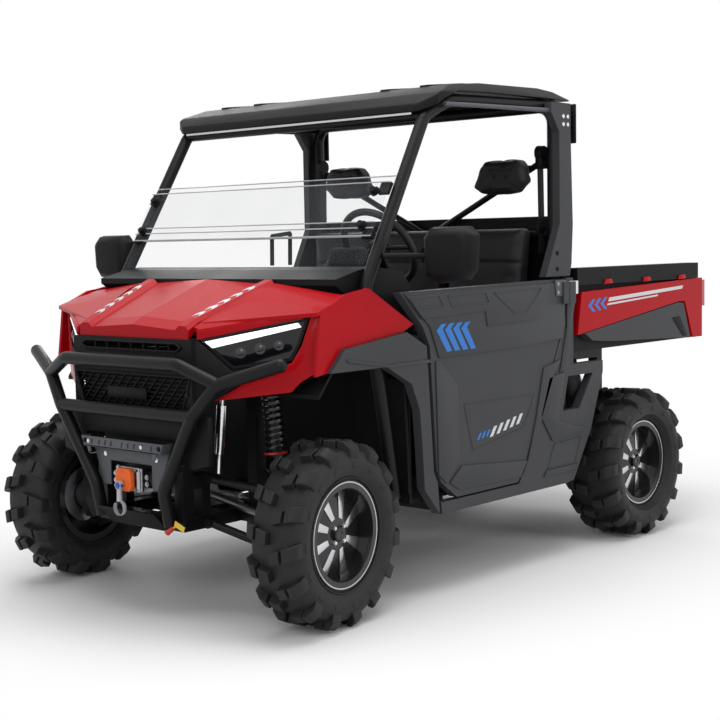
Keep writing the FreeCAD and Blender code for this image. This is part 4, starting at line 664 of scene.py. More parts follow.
# Swells a closed block by no more than its cap, keeps it inside its box and presses its seams in.
def pad(name, bm, low, high, seams, voxel=0.011, cap=0.014):
    obj = put(name, bm, "seat_vinyl", angle=60)
    remesh = obj.modifiers.new("evenMesh", "REMESH")
    remesh.mode = "VOXEL"
    remesh.voxel_size = voxel
    applyAll(obj)
    start = [v.co.copy() for v in obj.data.vertices]
    cloth = obj.modifiers.new("padding", "CLOTH")
    cloth.settings.use_pressure = True
    cloth.settings.uniform_pressure_force = swell["pressure"]
    cloth.settings.effector_weights.gravity = 0
    cloth.settings.quality = swell["quality"]
    cloth.point_cache.frame_end = swell["frames"]
    for number in range(1, swell["frames"] + 1):
        bpy.context.scene.frame_set(number)
    applyAll(obj)
    for v, old in zip(obj.data.vertices, start):
        move = v.co - old
        if move.length > cap:
            v.co = old + move.normalized() * cap
    bpy.context.scene.frame_set(1)
    low, high = spot(*low), spot(*high)
    for v in obj.data.vertices:
        v.co = Vector((min(max(c, a), b) for c, a, b in zip(v.co, low, high)))
        for axis, place, depth, way in seams:
            away = abs(v.co[axis] - place)
            v.co += Vector(way) * math.exp(-(away / swell["seam"]) ** 2) * depth
    rounder = obj.modifiers.new("rounder", "SUBSURF")
    rounder.levels = rounder.render_levels = 1
    for face in obj.data.polygons:
        face.use_smooth = True
    return obj


def makeSeats():
    d, foot, lean = swell["start"], seat["foot"], seat["lean"]
    firstCushion = firstBack = None
    for number, (left, right) in enumerate(seat["spans"]):
        bm = bmesh.new()
        addBlock(bm, (left + d, seat["front"] + d, seat["low"] + 2),
                 (right - d, seat["rear"] - d, seat["top"] - d), seat["round"], None, 3)
        seams = [(1, spot(0, y, 0).y, seat["seamDepth"], (0, 0, -1)) for y in seat["seams"]]
        cushion = pad(f"seatCushion_{number}", bm, (left + 1, seat["front"], seat["low"]),
                      (right - 1, seat["rear"], seat["top"]), seams)
        firstCushion = firstCushion or cushion
        bm = bmesh.new()
        rear = foot + seat["backDepth"]
        low, top = seat["top"] + d, seat["backTop"] - d
        addPlate(bm, atX(left + d, ((foot + d, low), (rear - d, low), (rear + lean - d, top),
                                    (foot + lean + d, top))),
                 (right - left - d * 2, 0, 0), seat["backRound"], 3)
        seams = [(2, z / 1000, seat["backSeamDepth"], (0, 1, 0)) for z in seat["backSeams"]]
        back = pad(f"seatBack_{number}", bm, (left + 1, foot, seat["top"] + 0.5),
                   (right - 1, rear + lean, seat["backTop"]), seams)
        firstBack = firstBack or back
    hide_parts("seat_cushions")
    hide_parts("seat_backs")
    for name, side, inner, low in headrest["places"]:
        makeHeadrest(name, side, inner, low)
    print("seats padded")


def makeHeadrest(name, side, inner, low):
    k = headrest

    def along(share):
        return side * (inner + k["width"] * share)

    def outline(face, shares):
        return [(along(u), face, low + k["tall"] * v) for u, v in shares]

    bm = bmesh.new()
    addPlate(bm, outline(k["face"], k["outline"]), (0, k["depth"], 0), k["round"], 3)
    ends = sorted((along(0), along(1)))
    pad(name, bm, (ends[0], k["near"], low), (ends[1], k["far"], low + k["tall"]), [],
        k["voxel"], k["cap"])
    build("headrestPanel_" + name, {
        "slot": "black_rubber", "plates": [(outline(k["panelFace"], k["panel"]), (0, 5, 0), 2)]})
    build("headrestBolts_" + name, {
        "slot": "black_steel",
        "bolts": [([(along(u), k["panelFace"], low + k["tall"] / 2) for u in k["bolts"]], (0, -1, 0), 7, 4)]})


# Lamps: placed on the slanted plane that the lamp glass lies in, as (along, up) in millimetres.
lampPlane = {"place": (357, -256, 1046), "turn": 32.3}
lampDetails = {"strip": ((8, -4), (363, 64), (376, 48), (46, -26)), "stripThick": 2,
               "projectors": ((150, -42, 22), (222, -28, 22), (292, -16, 20)),
               "outer": ((4, 1), (51, -42), (120, -101), (336, -72), (368, -18), (402, 80)),
               "inner": ((16, -2), (56, -34), (123, -91), (330, -64), (359, -14), (388, 68)), "rimThick": 2.2}
tailRibs = {"left": 722, "right": 762, "front": 2768, "rear": 2772, "levels": (1062, 1092, 1122, 1152),
            "half": 9, "round": 2}


def onLamp(u, v, out=0.0):          # along the glass, up it, and out of it
    a = math.radians(lampPlane["turn"])
    x, y, z = lampPlane["place"]
    return (x + u * math.cos(a) + out * math.sin(a), y + u * math.sin(a) - out * math.cos(a), z + v)


def outOf(distance):
    a = math.radians(lampPlane["turn"])
    return (distance * math.sin(a), -distance * math.cos(a), 0)


def makeLampDetails():
    k = lampDetails
    bm = bmesh.new()
    addPlate(bm, [onLamp(u, v, 0.2) for u, v in k["strip"]], outOf(k["stripThick"]), 1)
    put("lightStrips", bm, "lamp_lens", "led", both=True)

    bm = bmesh.new()
    for u, v, r in k["projectors"]:
        addBar(bm, onLamp(u, v, 0.1), onLamp(u, v, 3), r, 32, r * 0.92)
        addBar(bm, onLamp(u, v, 2.5), onLamp(u, v, 6), r * 0.72, 28, r * 0.4)
    put("lampProjectors", bm, "lamp_lens", "smoked", both=True)

    bm = bmesh.new()
    outer, inner = k["outer"], k["inner"]
    for number in range(len(outer)):
        after = (number + 1) % len(outer)
        addPlate(bm, [onLamp(*place, 0.2) for place in (outer[number], outer[after], inner[after],
                                                        inner[number])], outOf(k["rimThick"]))
    put("lampSurrounds", bm, "lamp_lens", "black_plastic", both=True)

    k = tailRibs
    build("tailLampRibs", {"slot": "rear_lens", "body": "bed", "both": True, "blocks": [
        ((k["left"], k["front"], z - k["half"]), (k["right"], k["rear"], z + k["half"]), k["round"])
        for z in k["levels"]]})
    print("lamps set")


# Nose: fascia, wedges, bezels, lenses and the slanted grille. Shares are of the lamp's length and height.
lampSize = (404, 92)
lampShares = ((0, 0.04), (0.126, -0.435), (0.297, -1.11), (0.837, -0.78), (0.913, -0.185), (1, 0.9))
bezelShares = ((-0.025, 0.391), (-0.025, 0.042), (1.02, 0.925), (0.933, -0.185), (0.837, -0.87),
               (0.562, -1.261), (0.124, -2.37), (0.832, -2.022), (0.906, -1.663), (1.144, -1.033),
               (1.13, 1.196))
wedgeShares = ((-0.06, 0.018), (-0.012, 0.018), (0.119, -0.478), (0.29, -1.168), (0.743, -0.929),
               (0.557, -1.223), (0.119, -2.332), (-0.035, -3), (-0.06, -3))
tipShares = ((0.02, -1.3), (0.22, -1.45), (0.43, -1.28), (0.13, -2.1))
fascia = {"face": -290, "wall": 24, "half": 345, "low": 770, "top": 1049,
          "slotHalf": 266, "slotTip": 296, "slotLow": 1004, "slotHigh": 1036, "bar": 6,
          "bladeStep": 72, "blades": 3, "blade": (3, 1000, 1040), "rimHalf": 263, "rimTip": 290, "rim": 4.5,
          "skirt": ((-425, 775), (-425, 599), (-333, 575), (-297, 587), (-286, 676), (286, 676), (297, 587),
                    (333, 575), (425, 599), (425, 775)),
          "plainField": ((-270, 930), (270, 930), (262, 990), (-262, 990))}
grille = {"topHalf": 337, "lowHalf": 291, "top": 914, "low": 784, "step": 24, "bar": 8, "deep": 8,
          "rows": 8, "row": 3, "rim": 6.5}
plate = {"slot": "black_plastic", "blocks": [((-140, -294, 818), (90, -283, 862), 4),
                                             ((-130, -295.5, 826), (80, -292, 854), 2)]}


# A slab on the lamp's slanted plane, between two depths behind it.
def lampSlab(bm, shares, front, back, width=2):
    points = [onLamp(lampSize[0] * u, lampSize[1] * v, -front) for u, v in shares]
    addPlate(bm, points, outOf(front - back), width)


def makeNose():
    bm = bmesh.new()
    face, wall, half, low, top = (fascia[k] for k in ("face", "wall", "half", "low", "top"))
    slot, tip, slotLow, slotHigh = (fascia[k] for k in ("slotHalf", "slotTip", "slotLow", "slotHigh"))
    middle = (slotLow + slotHigh) / 2
    gt, gl, gTop, gLow = (grille[k] for k in ("topHalf", "lowHalf", "top", "low"))

    def sheet(points, width=0, depth=wall, start=face):
        addPlate(bm, atY(start, points), (0, depth, 0), width)

    for side in (1, -1):
        outline = [(gl, gLow), (half, gLow), (half, top), (slot, top), (slot, slotHigh), (tip, middle),
                   (slot, slotLow), (slot, gTop), (gt, gTop)]
        sheet([(x * side, z) for x, z in outline])
    sheet([(-slot, gTop), (slot, gTop), (slot, slotLow), (-slot, slotLow)])
    sheet([(-slot, slotHigh), (slot, slotHigh), (slot, top), (-slot, top)])
    sheet([(-half, low), (half, low), (half, gLow), (-half, gLow)])
    sheet(fascia["skirt"], 3)
    sheet(fascia["plainField"], 4, 6, face - 5)
    bar = fascia["bar"]
    for z in (slotLow - bar * 1.5, slotHigh + bar / 2):
        addBlock(bm, (-slot, face + wall - 2, z), (slot, face + wall + 18, z + bar))
    thick, bladeLow, bladeTop = fascia["blade"]
    for k in range(-fascia["blades"], fascia["blades"] + 1):
        x = fascia["bladeStep"] * k
        addBlock(bm, (x - thick, face + 3, bladeLow), (x + thick, face + 20, bladeTop), 1)
    wide, reach = fascia["rimHalf"], fascia["rimTip"]
    rimRound(bm, atY(face - 2, ((-reach, middle), (-wide, slotLow + 1), (wide, slotLow + 1), (reach, middle),
                                (wide, slotHigh - 1), (-wide, slotHigh - 1))), fascia["rim"], 10)
    fasciaPiece = put("noseFascia", bm, "black_plastic")
    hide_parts("front_fascia")

    bm = bmesh.new()
    lampSlab(bm, wedgeShares, -9, 9)
    lampSlab(bm, tipShares, -14, 0, 3)
    put("noseWedges", bm, "black_plastic", both=True)

    bm = bmesh.new()
    lampSlab(bm, bezelShares, -9, 9)
    put("lampBezels", bm, "red_panel", both=True)

    bm = bmesh.new()
    lampSlab(bm, lampShares, 0, 40, 1)
    lens = put("lampLenses", bm, "lamp_lens", both=True)
    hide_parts("headlamps")
    makeGrille()


def makeGrille():
    bm = bmesh.new()
    gt, gl, high, low = grille["topHalf"], grille["lowHalf"], grille["top"], grille["low"]
    face, rise = fascia["face"] + 2, high - low
    slope = (gt - gl) / rise
    x = grille["step"] / 2 - gl - rise
    while x < gl:
        begin = max(0, -(gl + x) / (1 + slope))
        end = min(rise, (gl - x) / (1 - slope))
        if end - begin > grille["step"]:
            thick = grille["bar"]
            addPlate(bm, [(x + begin, face, low + begin), (x + begin + thick, face, low + begin),
                          (x + end + thick, face, low + end), (x + end, face, low + end)],
                     (0, grille["deep"], 0), 1, 1)
        x += grille["step"] * 2
    thick = grille["row"]
    for k in range(1, grille["rows"]):
        share = k / grille["rows"]
        z, half = low + rise * share, gl + (gt - gl) * share
        addBlock(bm, (-half, face + 6, z - thick), (half, face + 14, z + thick), 1.5)
    addBlock(bm, (-gt + 20, face + 26, low), (gt - 20, face + 28, high))
    rimRound(bm, atY(face - 1, ((-gl, low), (gl, low), (gt, high), (-gt, high))), grille["rim"], 12)
    mesh = put("grilleMesh", bm, "black_plastic")
    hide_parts("grille")
    build("grillePlate", plate)
    print("nose made")


# Stripes: plain chevrons and slashes, on the bonnet's ribs, the doors and the bed's sides.
chevrons = {"rows": (-215, -160, -105, -50, 5), "lean": 20, "width": 26, "shares": (0.06, 0.5, 0.94),
            "thick": 0.8, "from": -225, "long": 335, "inner": 266, "spread": 58, "rib": 39,
            "height": 1128.8, "rise": 129}


# A place on the top of the bonnet's left rib; across runs from 0 inside to 1 outside.
def ribPoint(along, across):
    k = chevrons
    share = (along - k["from"]) / k["long"]
    return (k["inner"] + k["spread"] * share + k["rib"] * across, along, k["height"] + k["rise"] * share)


def makeStripes():
    k = chevrons
    inside, middle, outside = k["shares"]
    bm = bmesh.new()
    for y in k["rows"]:
        for low, high, start, end in ((inside, middle, y, y + k["lean"]), (middle, outside, y + k["lean"], y)):
            addPlate(bm, [ribPoint(start, low), ribPoint(end, high), ribPoint(end + k["width"], high),
                          ribPoint(start + k["width"], low)], (0, 0, k["thick"]))
    put("bonnetChevrons", bm, "red_panel", "pale", body="hood", both=True)
    makeSideStripes()


# Each row: the field's face, how many, the first place and the step between them, and the outline.
sideStripes = {
    "Blue": {"finish": "blueStripe", "thick": 0.8, "rows": (
        (782.4, 4, (582, 0), (52, 0), ((0, 1046), (30, 1070), (62, 1071), (38, 1050), (96, 962), (64, 960),
                                       (6, 1040))),
        (775.4, 3, (842, 588), (30, 4), ((0, 0), (16, 2), (34, 28), (18, 26))))},
    "Pale": {"finish": "pale", "thick": 0.8, "rows": (
        (775.4, 5, (930, 590), (46, 8), ((0, 0), (22, 2), (52, 44), (30, 42))),)},
    "Dark": {"finish": "darkStripe", "thick": 0.5, "rows": (
        (775.4, 2, (800, 724), (436, 4), ((0, 0), (8, 0), (8, -60), (0, -60))),)},
}
bedFace = 770.3
bedStripes = {
    "bedChevrons": {"slot": "red_panel", "finish": "blueStripe", "body": "bed", "both": True, "plates": [
        (atX(bedFace, [(y + 1682 + 50 * k, z + 1092 + 3 * k) for y, z in (
            (0, 0), (36, 27), (60, 27), (26, 0), (60, -27), (36, -27))]), (0.8, 0, 0)) for k in range(3)]},
    "bedStripes": {"slot": "red_panel", "finish": "pale", "body": "bed", "both": True, "plates": [
        (atX(bedFace, outline), (0.8, 0, 0)) for outline in (
            ((1860, 1122), (2540, 1154), (2530, 1138), (1850, 1104)),
            ((1846, 1096), (2300, 1119), (2292, 1111), (1840, 1087)))]},
}


def makeSideStripes():
    for name, stripe in sideStripes.items():
        bm = bmesh.new()
        for face, count, (y, z), (stepY, stepZ), outline in stripe["rows"]:
            for k in range(count):
                addPlate(bm, [(face, y + stepY * k + u, z + stepZ * k + v) for u, v in outline],
                         (stripe["thick"], 0, 0))
        mirrorAll(bm)
        for side, body in ((1, "door_left"), (-1, "door_right")):
            put(f"doorStripes{name}_{body}", splitSide(bm, side), "grey_plastic", stripe["finish"], body)
        bm.free()
    for name, piece in bedStripes.items():
        build(name, piece)


def splitSide(bm, side):
    piece = bm.copy()
    gone = [v for v in piece.verts if v.co.x * side < 0]
    bmesh.ops.delete(piece, geom=gone, context="VERTS")
    return piece


# Fasteners and hinges, each piece riding the body it is fixed to.
bodyBolts = {"slot": "black_steel", "bolts": [
    ([(x, -349.2, 650) for x in (-218, 218)], (0, -1, 0), 7, 6),
    ([(x, -291, z) for x in (-318, 318) for z in (850, 950)], (0, -1, 0), 7, 5),
    ([(764, 1450, z) for z in (1330, 1262)], (1, 0, 0), 7, 5),
    ([(-764, 1450, z) for z in (1330, 1262)], (-1, 0, 0), 7, 5)]}
hinge = {"leaf": ((1400, 1214), (1488, 1214), (1488, 1146), (1410, 1146)), "face": 782.3, "thick": 4,
         "bolts": [(y, z) for y in (1420, 1462) for z in (1162, 1198)]}
bodyLeaf = {"slot": "bright", "both": True, "blocks": [((775.2, 1519, 1150), (779, 1590, 1208), 1.5)]}


def makeFasteners():
    build("bodyBolts", bodyBolts)
    for side, body in ((1, "door_left"), (-1, "door_right")):
        face = side * hinge["face"]
        build("hingeLeaf_" + body, {"slot": "grey_plastic", "finish": "grey_steel", "body": body, "plates": [
            (atX(face, hinge["leaf"]), (side * hinge["thick"], 0, 0), 1.5)]})
        build("hingeBolts_" + body, {"slot": "steel", "body": body, "bolts": [
            (atX(face + side * hinge["thick"], hinge["bolts"]), (side, 0, 0), 5, 4)]})
    build("hingeBodyLeaves", bodyLeaf)


# Winch: a recessed plate, its drum and rope, rollers, stopper and hook.
winch = {"front": -349.5, "face": -303.5, "plateTop": 668, "plateLow": 480, "topHalf": 238, "lowHalf": 163,
         "strip": 40, "window": 122, "windowTop": 575, "thick": 6,
         "tab": ((185, 1), (206, 1), (196, -24), (182, -18)),
         "slots": (-0.74, -0.55, -0.40, -0.25, 0.02, 0.17, 0.32, 0.50, 0.74),
         "slot": ((-6, 10), (2, 10), (8, 31), (0, 31))}
drum = {"y": -265.2, "z": 515, "barrel": 25, "half": 40, "ribs": (54, 68, 82, 96), "rib": (30, 35.5, 4),
        "flange": ((40, 4), (40, 32), (44, 34), (104, 34), (114, 28), (114, 4)),
        "rope": 4.2, "ropePlace": 28.5, "turns": 10, "ropeHalf": 36, "ropeSteps": 28}
fairlead = {"behind": 5.5, "post": (58, 76, 44), "rail": (70, 40, 5), "round": 2,
            "uprightRoller": (60, 33, 10), "flatRoller": (48, 33, 8.5), "pin": (60, 46, 4), "bolts": (92, 12, -14)}
stopper = {"front": -345, "depth": 23, "round": 5, "outline": (
    (-44, 486), (-30, 471), (30, 471), (44, 486), (44, 544), (30, 559), (-30, 559), (-44, 544))}
hook = {"y": -363, "z": 411, "wire": 9, "radius": 28.5, "sweep": 290, "steps": 40, "eye": 497, "eyeRadius": 17}


def makeWinch():
    makeWinchPlate()
    makeDrum()
    makeFairlead()
    makeHook()
    print("winch made")


def makeWinchPlate():
    front, face, low, top = winch["front"], winch["face"], winch["plateLow"], winch["plateTop"]
    shelf, thick, wide, narrow = top - winch["strip"], winch["thick"], winch["topHalf"], winch["lowHalf"]
    half = narrow + (shelf - low) * (wide - narrow) / (top - low)
    window, windowTop = winch["window"], winch["windowTop"]
    bm = bmesh.new()
    addPlate(bm, atY(face, ((-half, shelf), (-narrow, low), (-window, low), (-window, windowTop),
                            (window, windowTop), (window, low), (narrow, low), (half, shelf))), (0, thick, 0), 1)
    addPlate(bm, atY(front, ((-half, shelf), (-half, shelf + thick), (half, shelf + thick), (half, shelf))),
             (0, face - front + thick, 0), 1)
    addPlate(bm, atY(front, ((-half, shelf), (-wide, top), (wide, top), (half, shelf))), (0, thick, 0), 1.5)
    for side in (1, -1):
        addPlate(bm, [(side * half, front + 1, shelf), (side * wide, front + 1, top),
                      (side * (wide + 2), face, top), (side * half, face, shelf)], (side * 3, 0, 0), 0)
        addPlate(bm, atY(front - 0.5, [(side * x, shelf + z) for x, z in winch["tab"]]), (0, 5, 0), 1)
    plate = put("winchPlate", bm, "grey_steel")
    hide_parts("winch_mount")

    build("plateSlots", {"slot": "black_rubber", "plates": [
        (atY(front - 0.6, [(share * wide + x, shelf + z) for x, z in winch["slot"]]), (0, 2, 0), 0.4, 1)
        for share in winch["slots"]]})
    build("plateBolts", {"slot": "bright", "bolts": [
        ([(x, front, shelf + 21) for x in (-196, 118)], (0, -1, 0), 5, 4),
        ([(x, face, 598) for x in (-150, 150)], (0, -1, 0), 6, 4)]})


def makeDrum():
    y, z, half = drum["y"], drum["z"], drum["ropeHalf"]
    bm = bmesh.new()
    for k in range(drum["turns"]):
        place = spot(-half + 2 * half * k / (drum["turns"] - 1), y, z)
        addWire(bm, drum["rope"], drum["ropePlace"], math.tau, drum["ropeSteps"], 10, Matrix.Translation(place))
    put("woundRope", bm, "black_steel", "blueSteel", angle=60)

    bm = bmesh.new()
    place = Matrix.Translation(spot(0, y, z))
    under, over, long = drum["rib"]
    for side in (1, -1):
        addRing(bm, [(side * x, r) for x, r in drum["flange"]], 40, place)
        for x in drum["ribs"]:
            addRing(bm, [(side * x, under), (side * x, over), (side * x + long, over), (side * x + long, under)],
                    40, place)
    addBar(bm, (-drum["half"], y, z), (drum["half"], y, z), drum["barrel"], 28)
    drumPiece = put("winchDrum", bm, "black_steel")
    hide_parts("winch")


def makeFairlead():
    z, mid, k = drum["z"], winch["face"] - fairlead["behind"], fairlead
    inner, outer, tall = k["post"]
    wide, away, thick = k["rail"]
    bm = bmesh.new()
    for side in (1, -1):
        left, right = sorted((side * inner, side * outer))
        addBlock(bm, (left, mid - 6, z - tall), (right, mid + 5, z + tall), k["round"])
        rail = z + side * away
        addBlock(bm, (-wide, mid - 5, rail - thick), (wide, mid + 5, rail + thick), k["round"])
        for (x, reach, radius), sides in ((k["uprightRoller"], 24), (k["pin"], 12)):
            addBar(bm, (x * side, mid - 7, z - reach), (x * side, mid - 7, z + reach), radius, sides)
        reach, up, radius = k["flatRoller"]
        addBar(bm, (-reach, mid - 6, z + up * side), (reach, mid - 6, z + up * side), radius, 24)
        x, high, low = k["bolts"]
        addBolts(bm, [(x * side, winch["face"], z + high), (x * side, winch["face"], z + low)], (0, -1, 0), 7, 6)
    put("fairlead", bm, "steel")


def makeHook():
    front, y, eye = stopper["front"], hook["y"], hook["eye"]
    bm = bmesh.new()
    addPlate(bm, atY(front, stopper["outline"]), (0, stopper["depth"], 0), stopper["round"], 3)
    addBar(bm, (0, front - 6, drum["z"]), (0, front + 2, drum["z"]), 31, 32, 36)
    stopperPiece = put("hookStopper", bm, "orange_rubber")
    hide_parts("cable_stopper")

    bm = bmesh.new()
    turn = Matrix.Translation(spot(0, y, hook["z"])) @ Matrix.Rotation(math.pi / 2, 4, "Z")
    addWire(bm, hook["wire"], hook["radius"], math.radians(hook["sweep"]), hook["steps"], 14, turn)
    addBar(bm, (0, y, hook["z"] + hook["radius"] - 3), (0, y, eye - 5), 11, 18, 9)
    addBar(bm, (0, y - 8, eye), (0, y + 8, eye), hook["eyeRadius"], 24)
    hookPiece = put("towHook", bm, "bright", "paleSteel", angle=60)
    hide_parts("winch_hook")
    build("hookPin", {"slot": "bright", "finish": "blueSteel",
                      "bars": [((-20, y - 1, eye), (20, y - 1, eye), 7, 16)],
                      "bolts": [([(0, y - 8, eye)], (0, -1, 0), 9, 5)]})


# Cab: gauges, switches, grab handle, shift lever and the steering wheel's cover.
gauges = {"places": (362, 428), "y": 549, "z": 1334, "face": 27, "thick": 3.5,
          "ring": ((0, 27), (0, 30), (5, 29), (5, 27))}
gaugePod = {"slot": "black_plastic", "plates": [
    (((310, 470, 1296), (480, 470, 1296), (470, 480, 1372), (320, 480, 1372)), (0, 70, 0), 16, 3)]}
dashSwitches = {"slot": "black_rubber", "blocks": [
    ((x, 566, 1180), (x + 46, 576, 1212), 3) for x in range(-250, 101, 70)]}
grabHandle = {"slot": "black_rubber", "angle": 60, "bars": [
    ((-100, 574, 1300), (-100, 577, 1425), 9), ((-100, 577, 1425), (-100, 687, 1437), 9),
    ((-100, 687, 1437), (-100, 683, 1300), 9)]}
shiftLever = {"slot": "black_rubber", "angle": 50, "bars": [
    ((150, 600, 1190), (160, 650, 1290), 8), ((160, 648, 1284), (163, 662, 1318), 20, 20, 16)]}
hubCover = {"place": (395, 700, 1368), "tilt": 58, "from": 0.012, "to": 0.026, "radius": 46, "tip": 38}


def makeCab():
    y, z = gauges["y"], gauges["z"]
    build("gaugePod", gaugePod)
    build("gaugeFaces", {"slot": "black_plastic", "finish": "dial", "bars": [
        ((x, y, z), (x, y + gauges["thick"], z), gauges["face"], 32) for x in gauges["places"]]})
    bm = bmesh.new()
    for x in gauges["places"]:
        addRing(bm, gauges["ring"], 32, Matrix.Translation(spot(x, y, z)) @ Matrix.Rotation(math.pi / 2, 4, "Z"))
    put("gaugeRings", bm, "bright")
    build("dashSwitches", dashSwitches)
    build("grabHandle", grabHandle)
    build("shiftLever", shiftLever)

    bm = bmesh.new()
    tilt = math.radians(hubCover["tilt"])
    way = Vector((0, math.sin(tilt), math.cos(tilt)))
    middle = spot(*hubCover["place"])
    addBar(bm, middle + way * hubCover["from"], middle + way * hubCover["to"], hubCover["radius"], 32,
           hubCover["tip"], raw=True)
    put("wheelHubCover", bm, "black_rubber", "black_plastic", "steering_wheel")
    print("cab fitted")


# Mirrors: rings of one outline, each scaled and put at its own depth.
mirror = {"x": 978, "y": 420, "z": 1339, "half": 117, "tall": 105, "depth": 74, "round": 0.004,
          "glass": 0.84, "glassPlace": 0.401, "arm": 11, "armFoot": (735, 331), "joint": 15, "jointHalf": 26}
mirrorShares = ((0, 0.846), (0.14, 1), (0.847, 1), (1, 0.846), (0.967, 0.258), (0.833, 0.072),
                (0.279, 0), (0.033, 0.1))
mirrorSections = ((-0.5, 0.66), (-0.46, 0.76), (-0.2, 0.93), (0.2, 1.0), (0.42, 1.0), (0.5, 0.96),
                  (0.47, 0.86), (0.40, 0.85))


def spread(shares, uLow, uHigh, vLow, vHigh):
    return [(uLow + (uHigh - uLow) * u, vLow + (vHigh - vLow) * v) for u, v in shares]


def mirrorOutline(size, way):
    half, tall = mirror["half"] * size, mirror["tall"] * size
    return atY(mirror["y"] + mirror["depth"] * way, spread(
        mirrorShares, mirror["x"] - half, mirror["x"] + half, mirror["z"] - tall, mirror["z"] + tall))


def makeMirrors():
    bm = bmesh.new()
    addLoft(bm, [mirrorOutline(size, way) for way, size in mirrorSections])
    roundSharp(bm, 0.3, mirror["round"], 2)
    y, z, inner = mirror["y"], mirror["z"], mirror["x"] - mirror["half"]
    addBar(bm, (*mirror["armFoot"], z), (inner + 14, y, z), mirror["arm"], 18)
    addBar(bm, (inner - 16, y - 6, z - mirror["jointHalf"]), (inner - 16, y - 6, z + mirror["jointHalf"]),
           mirror["joint"], 20)
    shells = put("mirrorShells", bm, "black_plastic", both=True)
    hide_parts("mirrors")
    bm = bmesh.new()
    addPlate(bm, mirrorOutline(mirror["glass"], mirror["glassPlace"]), (0, 1.5, 0), 0.5)
    put("mirrorGlass", bm, "black_plastic", "mirrorGlass", both=True)


# Raised fields of the door as (y, z): belt, sill, lower frame; then rims round the pressed panels.
pressed = {"face": 775.05, "rise": 7, "round": 5, "sill": 782, "sillRise": 5, "sillRound": 4,
           "decal": 775.5, "panel": 787, "panelRim": 3.4, "decalRim": 2.2, "recessRim": 3,
           "flareRise": 5, "flareRound": 3}
doorBelt = ((392, 1196), (1474, 1204), (1482, 1020), (1462, 962), (1132, 944), (602, 938), (548, 1062))
doorSill = ((404, 1186), (1360, 1200), (1312, 1064), (1245, 1050), (911, 1044), (898, 1106), (500, 1096))
doorBands = (
    ((580, 928), (608, 924), (716, 823), (727, 526), (640, 440), (590, 480)),
    ((1318, 846), (1450, 872), (1395, 812), (1305, 640), (1210, 440), (1150, 400), (1199, 470), (1260, 640)),
    ((740, 500), (1190, 462), (1140, 396), (720, 404), (660, 440)),
)
doorDecal = ((761, 742), (1250, 738), (1173, 605), (816, 551))
doorPanels = (
    ((421, 1178), (591, 1183), (622, 1140), (458, 1138)),
    ((652, 1178), (896, 1182), (921, 1139), (678, 1133)),
    ((957, 1178), (1294, 1188), (1265, 1154), (1180, 1084), (1097, 1089)),
)
sideFields = (
    ((1500, 1196), (1560, 1196), (1560, 1110), (1518, 960), (1508, 830), (1440, 812), (1498, 1010)),
    ((1356, 800), (1480, 815), (1430, 605), (1560, 570), (1640, 560), (1600, 530), (1382, 520), (1290, 640)),
    ((1312, 372), (1561, 372), (1590, 400), (1340, 400)),
)
sideRecess = ((1400, 505), (1610, 515), (1560, 404), (1350, 404))
flareLine = ((70, 972), (311, 935), (539, 939), (560, 925), (315, 922), (75, 960))


def addField(bm, x, outline, rise, side, width):
    addPlate(bm, atX(side * x, outline), (side * rise, 0, 0), width)


def makeDoorPanels():
    k = pressed
    for side, body in ((1, "door_left"), (-1, "door_right")):
        bm = bmesh.new()
        for outline in (doorBelt, *doorBands):
            addField(bm, k["face"], outline, k["rise"], side, k["round"])
        addField(bm, k["sill"], doorSill, k["sillRise"], side, k["sillRound"])
        rimRound(bm, atX(side * k["decal"], doorDecal), k["decalRim"], 8)
        for outline in doorPanels:
            rimRound(bm, atX(side * k["panel"], outline), k["panelRim"], 8)
        put("doorPressings_" + body, bm, "grey_plastic", body=body)
    bm = bmesh.new()
    for side in (1, -1):
        for outline in sideFields:
            addField(bm, k["face"], outline, k["rise"], side, k["round"])
        rimRound(bm, atX(side * k["decal"], sideRecess), k["recessRim"], 8)
        addField(bm, k["face"], flareLine, k["flareRise"], side, k["flareRound"])
    put("sidePressings", bm, "grey_plastic")
    print("panels pressed")


# Roof, skid plate and wing tops.
roof = {"front": 595, "rear": 1610, "low": 1890, "high": 2040, "half": 752, "round": 0.007,
        "cornerX": 672, "cornerWay": 0.66, "edgeX": 679, "edgeWay": 0.93,
        "ribs": (350, 560), "ribWide": 46, "ribOver": 7, "ribUnder": 10, "visorHalf": 600}
skid = {"half": 167, "outline": ((-334, 400), (-262, 329.7), (2480, 329.7), (2480, 323.7), (-268, 323.7),
                                 (-340, 400))}
# Sections of the wing's top between the bonnet and the lamp: y, inner x and z, outer x and z.
wing = {"thick": 14, "sections": ((-256, 326, 1097, 353, 1088), (-56, 355, 1188, 675, 1144),
                                  (10, 368, 1220, 755.5, 1170), (110, 384, 1243, 755.5, 1199))}
roofShares = ((0, 0.013), (0.01, 0.233), (0.064, 0.52), (0.175, 0.787), (0.399, 0.933), (0.823, 1),
              (0.921, 0.933), (0.99, 0.733), (1, 0.667), (0.951, 0.667), (0.823, 0.68), (0.399, 0.653),
              (0.192, 0.6), (0.103, 0.373), (0.044, 0.15), (0.012, 0.013))


# Takes off what lies past a plane and closes the cut.
def cutAway(bm, place, way):
    whole = bm.verts[:] + bm.edges[:] + bm.faces[:]
    made = bmesh.ops.bisect_plane(bm, geom=whole, plane_co=spot(*place), plane_no=Vector(way), clear_outer=True)
    edges = [g for g in made["geom_cut"] if isinstance(g, bmesh.types.BMEdge)]
    bmesh.ops.contextual_create(bm, geom=edges)


